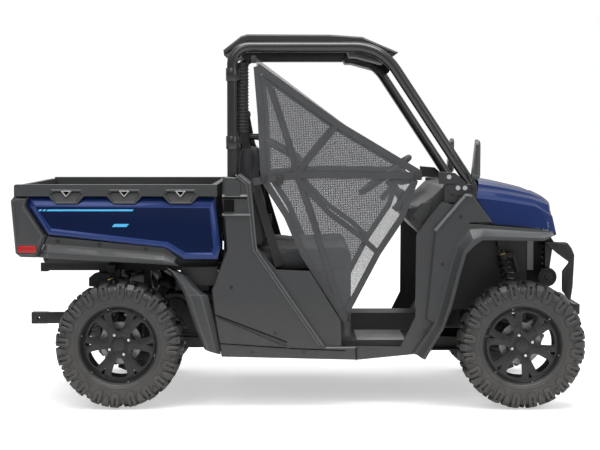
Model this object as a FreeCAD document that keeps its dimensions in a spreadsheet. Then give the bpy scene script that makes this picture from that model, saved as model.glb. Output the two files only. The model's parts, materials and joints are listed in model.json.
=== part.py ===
"""Side by side utility vehicle with a tilting load bed, as a parametric assembly.

Millimetres. +X points to the front, +Y to the vehicle's left, +Z up. The origin is on
the ground under the middle of the vehicle. Every driving size is a cell of the sheet
"Sizes", and each sub-part is an object of the document whose sizes are bound to it.
"""
import FreeCAD, Part
import math
import os
import Sketcher

V = FreeCAD.Vector

# Height of the axles that all heights of the sheet are given with
DATUM_Z = 336
TUBE_SIDES = 12
WHEEL_SIDES = 20
# Corner of a flat-sided bore, when a round pin just fits its flats
PIN_SIDES = 8
FLAT_TO_CORNER = 1 / math.cos(math.pi / PIN_SIDES)
BEND_STEP = 22.5
LUG_PITCHES = 10
GRILLE_SLOTS = 5

SIZES = [
    # Wheels, axles and steering
    ("wheelbase", 2115, "rear axle to front axle"),
    ("rear_axle_x", -951, "rear axle, from the origin"),
    ("tyre_radius", 336, "tyre out to the lug tips, 27 inch class"),
    ("tyre_width_front", 230, "front tyre"),
    ("tyre_width_rear", 280, "rear tyre"),
    ("tread_depth", 18, "lugs, above the carcass"),
    ("lug_width", 36, "one lug, along the tread"),
    ("lug_pair_angle", 14, "between the two lugs of a pair, degrees"),
    ("wheel_face_y", 780, "tyre's outer face, from the middle plane"),
    ("rim_radius", 190, "bead seat of the 14 inch rim"),
    ("rim_width", 150, "bead seat to bead seat"),
    ("rim_wall", 8, "barrel of the rim"),
    ("rim_disc", 14, "thickness of the wheel disc"),
    ("disc_inset", 52, "wheel disc, outboard of the wheel's middle"),
    ("window_low", 72, "inner end of the rim's windows"),
    ("window_high", 168, "outer end of the rim's windows"),
    ("wheel_boss_radius", 62, "boss behind the wheel disc"),
    ("stub_radius", 20, "stub axle"),
    ("running_fit", 0.05, "radial clearance of a pin in its bore"),
    ("seat_gap", 0.3, "gap between pieces that rest on each other"),
    ("kingpin_y", 600, "steering axis of a front wheel"),
    ("kingpin_radius", 10, "ball stud of an arm"),
    ("steer_arm", 150, "kingpin to tie rod eye"),
    ("lower_arm_z", 262, "underside of the lower arms"),
    ("upper_arm_z", 400, "underside of the upper arms"),
    ("arm_depth", 24, "height of an arm's section"),
    ("arm_spread", 220, "arm pivots, fore and aft"),
    ("half_shaft_radius", 13, "drive shafts"),
    ("boot_radius", 34, "shaft boots"),
    ("damper_radius", 34, "coil over damper"),
    ("damper_eye", 18, "eyes at both ends of a damper"),
    ("tie_rod_radius", 9, "tie rods and rack"),
    ("steering_x", 500, "middle of the steering wheel"),
    ("steering_y", 380, "middle of the steering wheel, driver on the left"),
    ("steering_z", 1199, "middle of the steering wheel"),
    ("steering_radius", 176, "outside of the steering wheel"),
    ("steering_tilt", 36.4, "steering wheel plane above level, degrees"),
    # Chassis
    ("rail_y", 230, "middle of a chassis rail"),
    ("rail_width", 50, "chassis rail"),
    ("rail_bottom_z", 262, "underside of the main rails"),
    ("rail_height", 56, "main rail"),
    ("frame_rear_x", -1430, "rear end of the chassis"),
    ("frame_front_x", 1330, "front end of the chassis"),
    ("bed_rail_top_z", 730, "top of the rails that carry the bed"),
    ("post_width", 40, "upright of the frame, fore and aft"),
    ("front_rail_top_z", 866, "top of the frame under the hood"),
    # Cab
    ("body_half_width", 720, "outer face of the side panels"),
    ("panel_depth", 45, "side panel, edge to edge"),
    ("panel_relief", 22, "raised part of a side panel, above its step"),
    ("side_play", 7, "gap from the side panels to the cage, and from it to the floor"),
    ("sill_bottom_z", 257, "lower edge of the sill"),
    ("sill_top_z", 325, "upper edge of the sill"),
    ("floor_z", 345, "top of the cab floor"),
    ("cab_rear_x", -390, "rear wall of the cab"),
    ("firewall_x", 760, "front wall of the cab"),
    ("tunnel_z", 440, "top of the middle tunnel"),
    ("tunnel_y", 150, "half width of the middle tunnel"),
    ("seat_z", 708, "top of the seat box"),
    ("seat_front_x", 270, "front of the seat box"),
    ("seat_split_y", 160, "gap between bench and driver's seat"),
    ("cushion_depth", 133, "seat cushion"),
    ("wall", 20, "wall of the seat box"),
    # Cage and roof
    ("cage_tube_radius", 28, "main tube of the cage"),
    ("shoulder_y", 450, "bars that come forward over the bench"),
    ("bar_radius", 20, "cross tubes of the cage"),
    ("rear_post_x", -355, "rear post of the cage"),
    ("roof_rail_z", 1897, "roof rails of the cage"),
    ("roof_corner_x", 425, "roof rail meets the front post"),
    ("roof_rise", 69, "top of the roof panel, above the rails"),
    ("roof_depth", 42, "roof panel"),
    ("front_post_x", 905, "foot of the front post"),
    ("front_post_z", 1170, "foot of the front post"),
    ("rear_bend", 90, "bend over the rear post"),
    ("front_bend", 260, "bend over the front post"),
    ("shoulder_bar_z", 1426, "cross tube behind the seat backs"),
    ("duct_radius", 36, "air intake duct behind the seats"),
    # Nose
    ("hood_rear_x", 930, "rear edge of the hood"),
    ("hood_rear_z", 1205, "top of the hood's rear edge"),
    ("hood_inset", 120, "hood, inside the side panels"),
    ("hood_taper", 90, "each side of the hood, towards the nose"),
    ("hood_hinge_y", 448, "hinges of the hood"),
    ("hood_wall", 12, "hood panel"),
    ("hinge_pin_radius", 6, "hinge pins of hood and tailgate"),
    ("nose_x", 1388, "foremost point of the hood"),
    ("flare_width", 70, "wheel flares, outside the side panels"),
    ("rear_flare_inset", 26, "guards before the rear wheels, inside the front flares"),
    ("rear_flare_depth", 149, "guards before the rear wheels"),
    ("lamp_inner_y", 290, "inner edge of a head lamp"),
    ("lamp_outer_y", 510, "outer edge of a head lamp"),
    ("grille_low_z", 690, "lowest slot of the grille"),
    ("grille_pitch", 32, "slots of the grille"),
    ("grille_slot", 14, "height of a slot"),
    ("grille_half_width", 330, "slots of the grille"),
    ("bumper_x", 1480, "foremost point of the brush guard"),
    # Load bed
    ("bed_front_x", -440, "front wall of the bed"),
    ("bed_rear_x", -1486, "rear end of the bed's top rail"),
    ("bed_top_z", 1178, "top rail of the bed"),
    ("bed_rail_depth", 60, "height of the bed's top rail"),
    ("bed_floor_z", 880, "load floor"),
    ("bed_half_width", 750, "outside of the bed's top rail"),
    ("bed_rail_width", 75, "the bed's top rail"),
    ("hook_depth", 94, "tie hook plates, below the rail's top"),
    ("field_depth", 4, "sunk fields of bed and tailgate"),
    ("bed_wall", 22, "wall of the bed tub"),
    ("bed_pivot_x", -1395, "tilt axis of the bed"),
    ("bed_pivot_z", 752, "tilt axis of the bed"),
    ("bed_pin_radius", 10, "pins of the tilt axis"),
    ("tailgate_depth", 28, "tailgate"),
    ("gate_gap", 7, "tailgate to the load space's sides"),
    ("gate_hinge_y", 575, "hinges of the tailgate"),
    ("play", 5, "gap round pieces that move"),
    # Rear hitch
    ("receiver_outer", 64, "hitch receiver, outside"),
    ("receiver_inner", 51, "hitch receiver, inside, 2 inch class"),
    ("receiver_z", 400, "middle of the hitch receiver"),
    ("receiver_rear_x", -1520, "mouth of the hitch receiver"),
    ("hitch_pin_radius", 8, "hitch pin hole, 5/8 inch class"),
]

doc = FreeCAD.newDocument("SideBySide")
sheet = doc.addObject("Spreadsheet::Sheet", "Sizes")
for row, (alias, value, note) in enumerate(SIZES, 1):
    sheet.set("A%d" % row, note)
    sheet.set("B%d" % row, str(value))
    sheet.setAlias("B%d" % row, alias)
doc.recompute()


class Dim:
    """A number of the sheet, or a sum of them, with the text that binds it."""

    def __init__(self, value, text):
        self.value = float(value)
        self.text = text

    def __add__(self, other):
        other = dim(other)
        return Dim(self.value + other.value, "(%s + %s)" % (self.text, other.text))

    def __sub__(self, other):
        other = dim(other)
        return Dim(self.value - other.value, "(%s - %s)" % (self.text, other.text))

    def __mul__(self, other):
        other = dim(other)
        return Dim(self.value * other.value, "(%s * %s)" % (self.text, other.text))

    def __truediv__(self, other):
        other = dim(other)
        return Dim(self.value / other.value, "(%s / %s)" % (self.text, other.text))

    def __radd__(self, other):
        return dim(other) + self

    def __rsub__(self, other):
        return dim(other) - self

    def __rmul__(self, other):
        return dim(other) * self

    def __neg__(self):
        return Dim(-self.value, "(0 - %s)" % self.text)


def dim(number):
    """The number itself if it is a Dim, else a Dim of it."""
    if isinstance(number, Dim):
        return number
    return Dim(number, "%r" % float(number))


class Sheet:
    """Each cell of the sheet as a Dim, under its alias."""


S = Sheet()
for alias, value, note in SIZES:
    setattr(S, alias, Dim(getattr(sheet, alias), "Sizes." + alias))

front_axle_x = S.rear_axle_x + S.wheelbase
hub_z = dim(DATUM_Z)
stand = S.tyre_radius - DATUM_Z
rail_top_z = S.rail_bottom_z + S.rail_height
rail_outer_y = S.rail_y + S.rail_width / 2
rail_inner_y = S.rail_y - S.rail_width / 2
panel_inner_y = S.body_half_width - S.panel_depth
cage_y = panel_inner_y - S.side_play - S.cage_tube_radius
cab_inner_y = cage_y - S.cage_tube_radius - S.side_play
roof_half_width = cage_y - S.cage_tube_radius - S.play
roof_top_z = S.roof_rail_z + S.roof_rise
hood_half_width = S.body_half_width - S.hood_inset
flare_outer_y = S.body_half_width + S.flare_width
bed_inner_y = S.bed_half_width - S.bed_rail_width
tailgate_y = bed_inner_y - S.gate_gap
tub_front_x = S.bed_front_x
tub_rear_x = S.bed_rear_x + 16
hook_places = [S.bed_rear_x + ahead for ahead in (269, 571, 864)]

nodes = []


def node(thing, label, z=0, raised=False):
    """Name a finished sub-part, stand it at the tyres' height and put it on the list to write."""
    if not raised:
        bind(thing, "Placement.Base.z", dim(z) + stand)
    thing.Label = label
    if thing.Label != label:
        raise RuntimeError(label + " is the name of another object too")
    nodes.append(thing)
    return thing


def bind(thing, name, size):
    """Tie one property to the sheet."""
    size = dim(size)
    thing.setExpression(name, size.text)


# Bodies, sketches and their features

def new_body(name):
    return doc.addObject("PartDesign::Body", name)


def origin_plane(body, role):
    return [f for f in body.Origin.OriginFeatures if f.Role == role][0]


def new_sketch(body, role, offset=0):
    """A sketch on an origin plane, moved along the plane's normal."""
    sketch = body.newObject("Sketcher::SketchObject", "sketch")
    sketch.AttachmentSupport = [(origin_plane(body, role), "")]
    sketch.MapMode = "FlatFace"
    bind(sketch, "AttachmentOffset.Base.z", offset)
    return sketch


def pin_point(sketch, geometry, end, point):
    """Hold a point of the sketch at two sizes from its origin."""
    for kind, size in (("DistanceX", dim(point[0])), ("DistanceY", dim(point[1]))):
        if size.text == "0.0":
            where = (geometry, end, -2) if kind == "DistanceX" else (geometry, end, -1)
            sketch.addConstraint(Sketcher.Constraint("PointOnObject", *where))
            continue
        held = Sketcher.Constraint(kind, -1, 1, geometry, end, size.value)
        index = sketch.addConstraint(held)
        sketch.setExpression("Constraints[%d]" % index, size.text)


def outline(sketch, points):
    """A closed outline of straight lines through the points."""
    ends = [V(dim(a).value, dim(b).value, 0) for a, b in points]
    first = sketch.GeometryCount
    count = len(points)
    for i in range(count):
        line = Part.LineSegment(ends[i], ends[(i + 1) % count])
        sketch.addGeometry(line, False)
    for i in range(count):
        after = first + (i + 1) % count
        sketch.addConstraint(Sketcher.Constraint("Coincident", first + i, 2, after, 1))
    for i in range(count):
        pin_point(sketch, first + i, 1, points[i])


def finish_pad(pad, sketch, length, midplane=False, reverse=False):
    pad.Profile = sketch
    pad.Midplane = midplane
    pad.Reversed = reverse
    bind(pad, "Length", length)
    return pad


def pad(body, sketch, length, midplane=False, reverse=False):
    return finish_pad(body.newObject("PartDesign::Pad", "pad"), sketch, length, midplane, reverse)


def pocket(body, sketch, length, midplane=False, reverse=False):
    return finish_pad(body.newObject("PartDesign::Pocket", "pocket"), sketch, length,
                      midplane, reverse)


def side_pad(body, points, inner_y, outer_y):
    """A plate on the right side: an X-Z outline between two distances from the middle."""
    sketch = new_sketch(body, "XZ_Plane", inner_y)
    outline(sketch, points)
    return pad(body, sketch, dim(outer_y) - inner_y)


def side_pocket(body, points, inner_y, outer_y):
    """Cut an X-Z outline out between two distances from the middle."""
    sketch = new_sketch(body, "XZ_Plane", outer_y)
    outline(sketch, points)
    return pocket(body, sketch, dim(outer_y) - inner_y)


def middle_pad(body, points, half_width):
    """A piece across the middle plane: an X-Z outline as wide as twice the half width."""
    sketch = new_sketch(body, "XZ_Plane")
    outline(sketch, points)
    return pad(body, sketch, dim(half_width) * 2, midplane=True)


def chamfer(body, feature, size, chosen):
    """Break the edges of the feature that the test chooses."""
    doc.recompute()
    names = ["Edge%d" % (i + 1) for i, edge in enumerate(feature.Shape.Edges) if chosen(edge)]
    cut = body.newObject("PartDesign::Chamfer", "chamfer")
    cut.Base = (feature, names)
    bind(cut, "Size", size)
    return cut


def polygon(sketch, centre, radius, sides):
    """A regular outline about a centre, with a flat at the top."""
    corners = []
    for i in range(sides):
        angle = math.radians((i + 0.5) * 360.0 / sides)
        across = dim(radius) * round(math.sin(angle), 6)
        up = dim(radius) * round(math.cos(angle), 6)
        corners.append((dim(centre[0]) + across, dim(centre[1]) + up))
    outline(sketch, corners)


def tube(body, role, offset, points, bends, radius, start_role, start_offset, start_centre):
    """A tube along straight runs in one plane, each bend made of short mitred runs."""
    path = new_sketch(body, role, offset)
    ends = [V(dim(a).value, dim(b).value, 0) for a, b in points]
    route = [ends[0]]
    for before, corner, after, bend in zip(ends, ends[1:], ends[2:], bends):
        route += bend_points(before, corner, after, dim(bend).value)
    route.append(ends[-1])
    for a, b in zip(route, route[1:]):
        path.addGeometry(Part.LineSegment(a, b), False)
    last = len(route) - 2
    for i in range(last):
        path.addConstraint(Sketcher.Constraint("Coincident", i, 2, i + 1, 1))
    pin_point(path, 0, 1, points[0])
    pin_point(path, last, 2, points[-1])
    for i in range(1, last):
        path.addConstraint(Sketcher.Constraint("Block", i))
    section = new_sketch(body, start_role, start_offset)
    polygon(section, start_centre, dim(radius) / math.cos(math.pi / TUBE_SIDES), TUBE_SIDES)
    pipe = body.newObject("PartDesign::AdditivePipe", "pipe")
    pipe.Profile = section
    pipe.Spine = (path, [])
    pipe.Transition = "Right corner"
    return pipe


def bend_points(before, corner, after, radius):
    """Corners of the short runs that follow a bend's arc, outside the arc."""
    into = (corner - before).normalize()
    out = (after - corner).normalize()
    turn = math.acos(max(-1.0, min(1.0, into.dot(out))))
    count = max(2, round(math.degrees(turn) / BEND_STEP))
    step = turn / count
    start = corner - into * (radius * math.tan(turn / 2))
    side = (out - into * into.dot(out)).normalize()
    centre = start + side * radius
    reach = radius / math.cos(step / 2)
    points = []
    for i in range(count):
        angle = step * (i + 0.5)
        points.append(centre - side * (reach * math.cos(angle)) + into * (reach * math.sin(angle)))
    return points


# Primitives and how they are joined

def box(x0, x1, y0, y1, z0, z1):
    solid = doc.addObject("Part::Box", "bar")
    for name, low, high in (("Length", x0, x1), ("Width", y0, y1), ("Height", z0, z1)):
        bind(solid, name, dim(high) - low)
    for name, low in (("x", x0), ("y", y0), ("z", z0)):
        bind(solid, "Placement.Base." + name, low)
    return solid


def both_sides(x0, x1, y0, y1, z0, z1):
    """The same bar on the right and on the left."""
    return [box(x0, x1, -dim(y1), -dim(y0), z0, z1), box(x0, x1, y0, y1, z0, z1)]


def cylinder(radius, length, at, direction):
    """A round bar from a point along a direction."""
    solid = doc.addObject("Part::Cylinder", "bar")
    solid.Placement = FreeCAD.Placement(V(0, 0, 0), FreeCAD.Rotation(V(0, 0, 1), direction))
    bind(solid, "Radius", radius)
    bind(solid, "Height", length)
    for name, place in zip("xyz", at):
        bind(solid, "Placement.Base." + name, place)
    return solid


def rod(radius, length, at, direction, sides=PIN_SIDES):
    """A bar that is drawn with flats, where many of them repeat."""
    solid = doc.addObject("Part::Prism", "rod")
    solid.Polygon = sides
    solid.Placement = FreeCAD.Placement(V(0, 0, 0), FreeCAD.Rotation(V(0, 0, 1), direction))
    bind(solid, "Circumradius", radius)
    bind(solid, "Height", length)
    for name, place in zip("xyz", at):
        bind(solid, "Placement.Base." + name, place)
    return solid


def flat_face(corners):
    return Part.Face(Part.makePolygon(corners + corners[:1]))


def rings(stations, direction, sides=12, turn=0):
    """A solid with flat sides through regular outlines: distances along the axis and radii."""
    loops = []
    for along, radius in stations:
        angles = [math.radians(turn + i * 360 / sides) for i in range(sides)]
        reach, height = dim(radius).value, dim(along).value
        loops.append([V(reach * math.cos(a), reach * math.sin(a), height) for a in angles])
    faces = [flat_face(loops[0]), flat_face(loops[-1])]
    for low, high in zip(loops, loops[1:]):
        for i in range(sides):
            faces.append(flat_face([low[i - 1], low[i], high[i], high[i - 1]]))
    shape = Part.makeSolid(Part.makeShell(faces))
    if shape.Volume < 0:
        shape.reverse()
    solid = doc.addObject("Part::Feature", "rings")
    solid.Shape = shape
    solid.Placement = FreeCAD.Placement(V(0, 0, 0), FreeCAD.Rotation(V(0, 0, 1), direction))
    return solid


def fuse(parts):
    joined = doc.addObject("Part::MultiFuse", "joined")
    joined.Shapes = parts
    joined.Refine = True
    return joined


def cut(base, tool):
    left = doc.addObject("Part::Cut", "cut")
    left.Base = base
    left.Tool = tool
    left.Refine = True
    return left


def group(parts):
    together = doc.addObject("Part::Compound", "group")
    together.Links = parts
    return together


def mirror(right):
    left = doc.addObject("Part::Mirroring", "left")
    left.Source = right
    left.Normal = V(0, 1, 0)
    return left


def pair(right):
    """The right piece and its mirror image on the left."""
    return group([right, mirror(right)])


# Wheels

def lug(body, angle, side, width):
    """One lug over the tyre's shoulder, from its section through the axle."""
    s = S
    half = dim(width) / 2
    crown = s.tyre_radius - s.tread_depth
    sketch = body.newObject("Sketcher::SketchObject", "lug")
    sketch.AttachmentSupport = [(origin_plane(body, "YZ_Plane"), "")]
    sketch.MapMode = "FlatFace"
    sketch.AttachmentOffset = FreeCAD.Placement(V(0, 0, 0), FreeCAD.Rotation(V(1, 0, 0), angle))
    points = [(dim(40), crown - 10), (dim(40), s.tyre_radius), (half - 26, s.tyre_radius),
              (half - 1, s.tyre_radius - 34), (half - 12, s.tyre_radius - 64)]
    outline(sketch, [(a * side, b) for a, b in points])
    return pad(body, sketch, s.lug_width, midplane=True)


def tyre(width):
    """A tyre in its own frame, the axle along Y: a carcass with two rows of paired lugs."""
    s = S
    half = dim(width) / 2
    bead = s.rim_radius + s.seat_gap
    crown = s.tyre_radius - s.tread_depth
    heel = s.rim_width / 2
    side = [(heel, bead + 6), (half, bead + 50), (half - 6, s.tyre_radius - 46), (half - 46, crown)]
    stations = [(-a, b) for a, b in side] + side[::-1]
    # Turned half a side, so that each lug stands on one flat
    carcass = rings(stations, V(0, 1, 0), WHEEL_SIDES, 180 / WHEEL_SIDES)
    bore = rod(bead, dim(width) + 20, (0, -half - 10, 0), V(0, 1, 0), WHEEL_SIDES)
    lugs = new_body("lugs")
    pads = []
    for row in (-1, 1):
        for angle in (0, row * s.lug_pair_angle.value):
            pads.append(lug(lugs, angle, row, width))
    pattern = lugs.newObject("PartDesign::PolarPattern", "pattern")
    pattern.Originals = pads
    pattern.Axis = (origin_plane(lugs, "Y_Axis"), [""])
    pattern.Angle = 360
    pattern.Occurrences = LUG_PITCHES
    lugs.Tip = pattern
    return fuse([cut(carcass, bore), lugs])


def rim():
    """A six-spoke rim with its disc towards -Y, in its own frame."""
    s = S
    half = s.rim_width / 2
    inner = s.rim_radius - s.rim_wall
    face = -s.disc_inset
    front = face - s.rim_disc
    barrel = cut(rod(s.rim_radius, s.rim_width, (0, -half, 0), V(0, 1, 0), WHEEL_SIDES),
                 rod(inner, s.rim_width + 2, (0, -half - 1, 0), V(0, 1, 0), WHEEL_SIDES))
    body = new_body("disc")
    disc = new_sketch(body, "XZ_Plane", s.disc_inset)
    polygon(disc, (0, 0), inner + 2, WHEEL_SIDES)
    pad(body, disc, s.rim_disc)
    hole = new_sketch(body, "XZ_Plane", s.disc_inset + s.rim_disc)
    narrow, wide = s.window_low, s.window_high
    outline(hole, [(-14, narrow), (14, narrow), (50, wide - 22), (32, wide), (-32, wide), (-50, wide - 22)])
    window = pocket(body, hole, s.rim_disc)
    pattern = body.newObject("PartDesign::PolarPattern", "windows")
    pattern.Originals = [window]
    pattern.Axis = (origin_plane(body, "Y_Axis"), [""])
    pattern.Angle = 360
    pattern.Occurrences = 6
    body.Tip = pattern
    cap = rod(34, 10, (0, front + 1, 0), V(0, -1, 0), TUBE_SIDES)
    boss = rod(s.wheel_boss_radius, s.disc_inset - 4, (0, -4, 0), V(0, -1, 0))
    reach = (s.stub_radius + s.running_fit) / math.cos(math.pi / TUBE_SIDES)
    bore = rod(reach, s.disc_inset, (0, 0, 0), V(0, -1, 0), TUBE_SIDES)
    return cut(fuse([barrel, body, cap, boss]), bore)


def place_wheel(make, x, y, label, *sizes):
    """Build one wheel piece for the right side and mirror it for the left."""
    thing = make(*sizes)
    bind(thing, "Placement.Base.x", x)
    bind(thing, "Placement.Base.y", -dim(y))
    node(thing, label + "_right", hub_z)
    node(mirror(thing), label + "_left", raised=True)


front_wheel_y = S.wheel_face_y - S.tyre_width_front / 2
rear_wheel_y = S.wheel_face_y - S.tyre_width_rear / 2


def wheels():
    place_wheel(tyre, front_axle_x, front_wheel_y, "tyre_front", S.tyre_width_front)
    place_wheel(tyre, S.rear_axle_x, rear_wheel_y, "tyre_rear", S.tyre_width_rear)
    place_wheel(rim, front_axle_x, front_wheel_y, "rim_front")
    place_wheel(rim, S.rear_axle_x, rear_wheel_y, "rim_rear")


# Chassis

def chassis_frame():
    """Ladder frame: main rails, bed rails over the rear axle, posts and outriggers."""
    s = S
    inner, outer = rail_inner_y, rail_outer_y
    bottom, top = s.rail_bottom_z, rail_top_z
    bars = both_sides(s.frame_rear_x, s.frame_front_x, inner, outer, bottom, top)
    half_spread = s.arm_spread / 2
    half_post = s.post_width / 2
    bed_front = s.cab_rear_x - 20
    for axle, top_z in ((s.rear_axle_x, s.bed_rail_top_z - 40), (front_axle_x, s.front_rail_top_z - 36)):
        for shift in (-half_spread, half_spread):
            bars += both_sides(axle + shift - half_post, axle + shift + half_post, inner, outer,
                               top, top_z)
    bars += both_sides(s.frame_rear_x, bed_front, inner, outer, s.bed_rail_top_z - 40,
                       s.bed_rail_top_z)
    bars += both_sides(bed_front - s.post_width, bed_front, inner, outer, top,
                       s.bed_rail_top_z - 40)
    bars += both_sides(s.firewall_x + 30, s.frame_front_x - 20, inner, outer,
                       s.front_rail_top_z - 36, s.front_rail_top_z)
    # Cross members: under the axle drives, the rack, the engine and at both ends
    spans = [(s.rear_axle_x - 45, s.rear_axle_x - 15), (s.rear_axle_x + 15, s.rear_axle_x + 45),
             (front_axle_x - 45, front_axle_x - 15), (front_axle_x + 15, front_axle_x + 45)]
    for low, high in spans:
        bars.append(box(low, high, -inner, inner, bottom, bottom + 22))
    rack_x = front_axle_x - s.steer_arm
    for low, high in ((rack_x - 24, rack_x + 24), (s.cab_rear_x - 70, s.cab_rear_x - 20),
                      (s.rear_axle_x + 230, s.rear_axle_x + 270), (200, 250),
                      (s.frame_front_x - 40, s.frame_front_x)):
        bars.append(box(low, high, -inner, inner, bottom, top))
    bars.append(box(s.frame_rear_x, s.frame_rear_x + 40, -inner, inner,
                    s.receiver_z - 46, s.receiver_z + 46))
    bars += both_sides(s.frame_rear_x, s.frame_rear_x + 40, inner, outer,
                       top, s.bed_rail_top_z - 40)
    # Outriggers that carry the floor, the sills and the cage's feet
    for low, high in ((s.cab_rear_x - 5, s.cab_rear_x + 70), (150, 200), (s.firewall_x - 160, s.firewall_x - 110)):
        bars += both_sides(low, high, outer, panel_inner_y, top - 34, top)
    # Damper towers and the bumper's arms
    bars.append(box(s.rear_axle_x - 95, s.rear_axle_x - 55, -400, 400, s.bed_rail_top_z - 40,
                    s.bed_rail_top_z))
    bars.append(box(front_axle_x - 95, front_axle_x - 55, -440, 440, s.front_rail_top_z - 36,
                    s.front_rail_top_z))
    bars += both_sides(s.frame_front_x - 40, s.frame_front_x, inner, outer, top,
                       s.front_rail_top_z - 36)
    bars += both_sides(s.frame_front_x, s.bumper_x - 12, inner, outer, 468, 500)
    # Lugs inside the bed rails with the pins that the bed tilts on
    bars.append(box(s.bed_pivot_x - 20, s.bed_pivot_x + 20, -inner, inner, s.bed_rail_top_z - 40,
                    s.bed_rail_top_z))
    lug_outer = inner - s.play
    bars += both_sides(s.bed_pivot_x - 18, s.bed_pivot_x + 18, lug_outer - 30, lug_outer,
                       s.bed_rail_top_z, s.bed_pivot_z + 18)
    for start in (-outer, lug_outer - 10):
        bars.append(rod(s.bed_pin_radius, outer - lug_outer + 10, (s.bed_pivot_x, start, s.bed_pivot_z),
                        V(0, 1, 0)))
    node(fuse(bars), "chassis_frame")


def skid_plate():
    plate = box(S.cab_rear_x - 60, front_axle_x - 170, -rail_outer_y - 60, rail_outer_y + 60,
                S.rail_bottom_z - 8 - S.seat_gap, S.rail_bottom_z - S.seat_gap)
    node(group([plate]), "skid_plate")


def hitch_receiver():
    """Square receiver tube on the rear cross member, with its pin hole."""
    s = S
    half = s.receiver_outer / 2
    hollow = s.receiver_inner / 2
    end = s.frame_rear_x - s.seat_gap
    tube_box = box(s.receiver_rear_x, end, -half, half, s.receiver_z - half, s.receiver_z + half)
    space = box(s.receiver_rear_x - 1, end - 8, -hollow, hollow, s.receiver_z - hollow,
                s.receiver_z + hollow)
    hole = cylinder(s.hitch_pin_radius, s.receiver_outer + 4,
                    (s.receiver_rear_x + 40, -half - 2, s.receiver_z), V(0, 1, 0))
    node(cut(cut(tube_box, space), hole), "hitch_receiver")


# Suspension and drive

def arm(axle_x, pin_y, low_z):
    """One V-shaped arm on the right side, with the hole of its ball stud."""
    body = new_body("arm")
    spread = S.arm_spread / 2
    inner = -rail_outer_y - S.seat_gap
    sketch = new_sketch(body, "XY_Plane", low_z)
    tip = -dim(pin_y)
    right = [(22, tip - 20), (30, tip + 40), (spread + 18, inner), (spread - 18, inner)]
    points = [(axle_x + a, b) for a, b in right]
    left = [(axle_x - a, b) for a, b in right]
    outline(sketch, points + [(axle_x + 0, tip + 110)] + left[::-1])
    pad(body, sketch, S.arm_depth)
    hole = new_sketch(body, "XY_Plane", dim(low_z))
    polygon(hole, (axle_x, tip), (S.kingpin_radius + S.running_fit) * FLAT_TO_CORNER, PIN_SIDES)
    pocket(body, hole, S.arm_depth, reverse=True)
    return body


def arms():
    """Upper and lower arm at each corner."""
    found = []
    for axle_x, pin_y in ((front_axle_x, S.kingpin_y), (S.rear_axle_x, rear_pin_y)):
        for low_z in (S.lower_arm_z, S.upper_arm_z):
            right = arm(axle_x, pin_y, low_z)
            found += [right, mirror(right)]
    node(group(found), "suspension_arms")


rear_pin_y = rear_wheel_y - 65
knuckle_low_z = S.lower_arm_z + S.arm_depth + S.play
knuckle_high_z = S.upper_arm_z - S.play


def knuckle(axle_x, pin_y, wheel_y, steered):
    """Upright with its two studs and the stub axle, and a steering arm if it steers."""
    tip = -dim(pin_y)
    half = 25
    low, high = knuckle_low_z, knuckle_high_z
    stud = S.arm_depth + S.play
    stub_end = -dim(wheel_y) - S.disc_inset + S.play
    parts = [box(axle_x - half, axle_x + half, tip - 16, tip + 16, low, high),
             rod(42, 62, (axle_x, tip + 22, hub_z), V(0, -1, 0)),
             rod(S.kingpin_radius, high - low + stud * 2, (axle_x, tip, low - stud), V(0, 0, 1)),
             rod(S.stub_radius, tip - stub_end, (axle_x, tip, hub_z), V(0, -1, 0), TUBE_SIDES)]
    if steered:
        arm_z = hub_z + 27
        parts.append(box(axle_x - S.steer_arm - 14, axle_x - 20, tip + 4, tip + 32, arm_z, arm_z + 14))
    return fuse(parts)


def knuckles():
    """Steered uprights in front and fixed ones at the rear."""
    front = knuckle(front_axle_x, S.kingpin_y, front_wheel_y, True)
    node(front, "front_knuckle_right")
    node(mirror(front), "front_knuckle_left", raised=True)
    node(pair(knuckle(S.rear_axle_x, rear_pin_y, rear_wheel_y, False)), "rear_knuckles")


def driveline():
    """Each axle's drive with its two half shafts and boots, as one piece an axle."""
    axles = []
    for axle_x, pin_y in ((front_axle_x, S.kingpin_y), (S.rear_axle_x, rear_pin_y)):
        end = dim(pin_y) - 60
        case = box(axle_x - 64, axle_x + 64, -95, 95, S.rail_bottom_z + 22 + S.seat_gap, hub_z + 62)
        parts = [case, rod(S.half_shaft_radius, end * 2, (axle_x, -end, hub_z), V(0, 1, 0))]
        for side in (-1, 1):
            for near in (dim(90), end - 64):
                start = near if side > 0 else -near - 64
                parts.append(rod(S.boot_radius, 64, (axle_x, start, hub_z), V(0, 1, 0)))
        axles.append(fuse(parts))
    node(group(axles), "driveline")


def damper(low, high):
    """A coil over damper between two eyes, on the right side."""
    start = V(*[dim(a).value for a in low])
    end = V(*[dim(a).value for a in high])
    length = (end - start).Length
    eye = S.damper_eye
    seat = length * 0.62
    spring = rings([(20, S.damper_radius), (seat, S.damper_radius)], V(0, 0, 1), 10)
    tip = eye - 1.6
    parts = [rings([(-tip, 7), (0, eye), (16, 20), (length - 16, 20), (length, eye), (length + tip, 7)],
                   V(0, 0, 1), 8), spring]
    whole = fuse(parts)
    whole.Placement = FreeCAD.Placement(start, FreeCAD.Rotation(V(0, 0, 1), end - start))
    for name, place in zip("xyz", low):
        bind(whole, "Placement.Base." + name, place)
    return whole


def dampers():
    """Four dampers, from the upper arms to the towers of the frame."""
    eye = S.damper_eye + S.seat_gap
    arm_top = S.upper_arm_z + S.arm_depth + eye
    front = damper((front_axle_x + 18, -430, arm_top),
                   (front_axle_x - 75, -415, S.front_rail_top_z - 36 - eye))
    rear = damper((S.rear_axle_x - 20, -410, arm_top),
                  (S.rear_axle_x - 75, -375, S.bed_rail_top_z - 40 - eye))
    node(group([front, mirror(front), rear, mirror(rear)]), "dampers")


# Steering

rack_x = front_axle_x - S.steer_arm
rack_z = hub_z + 9


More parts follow.
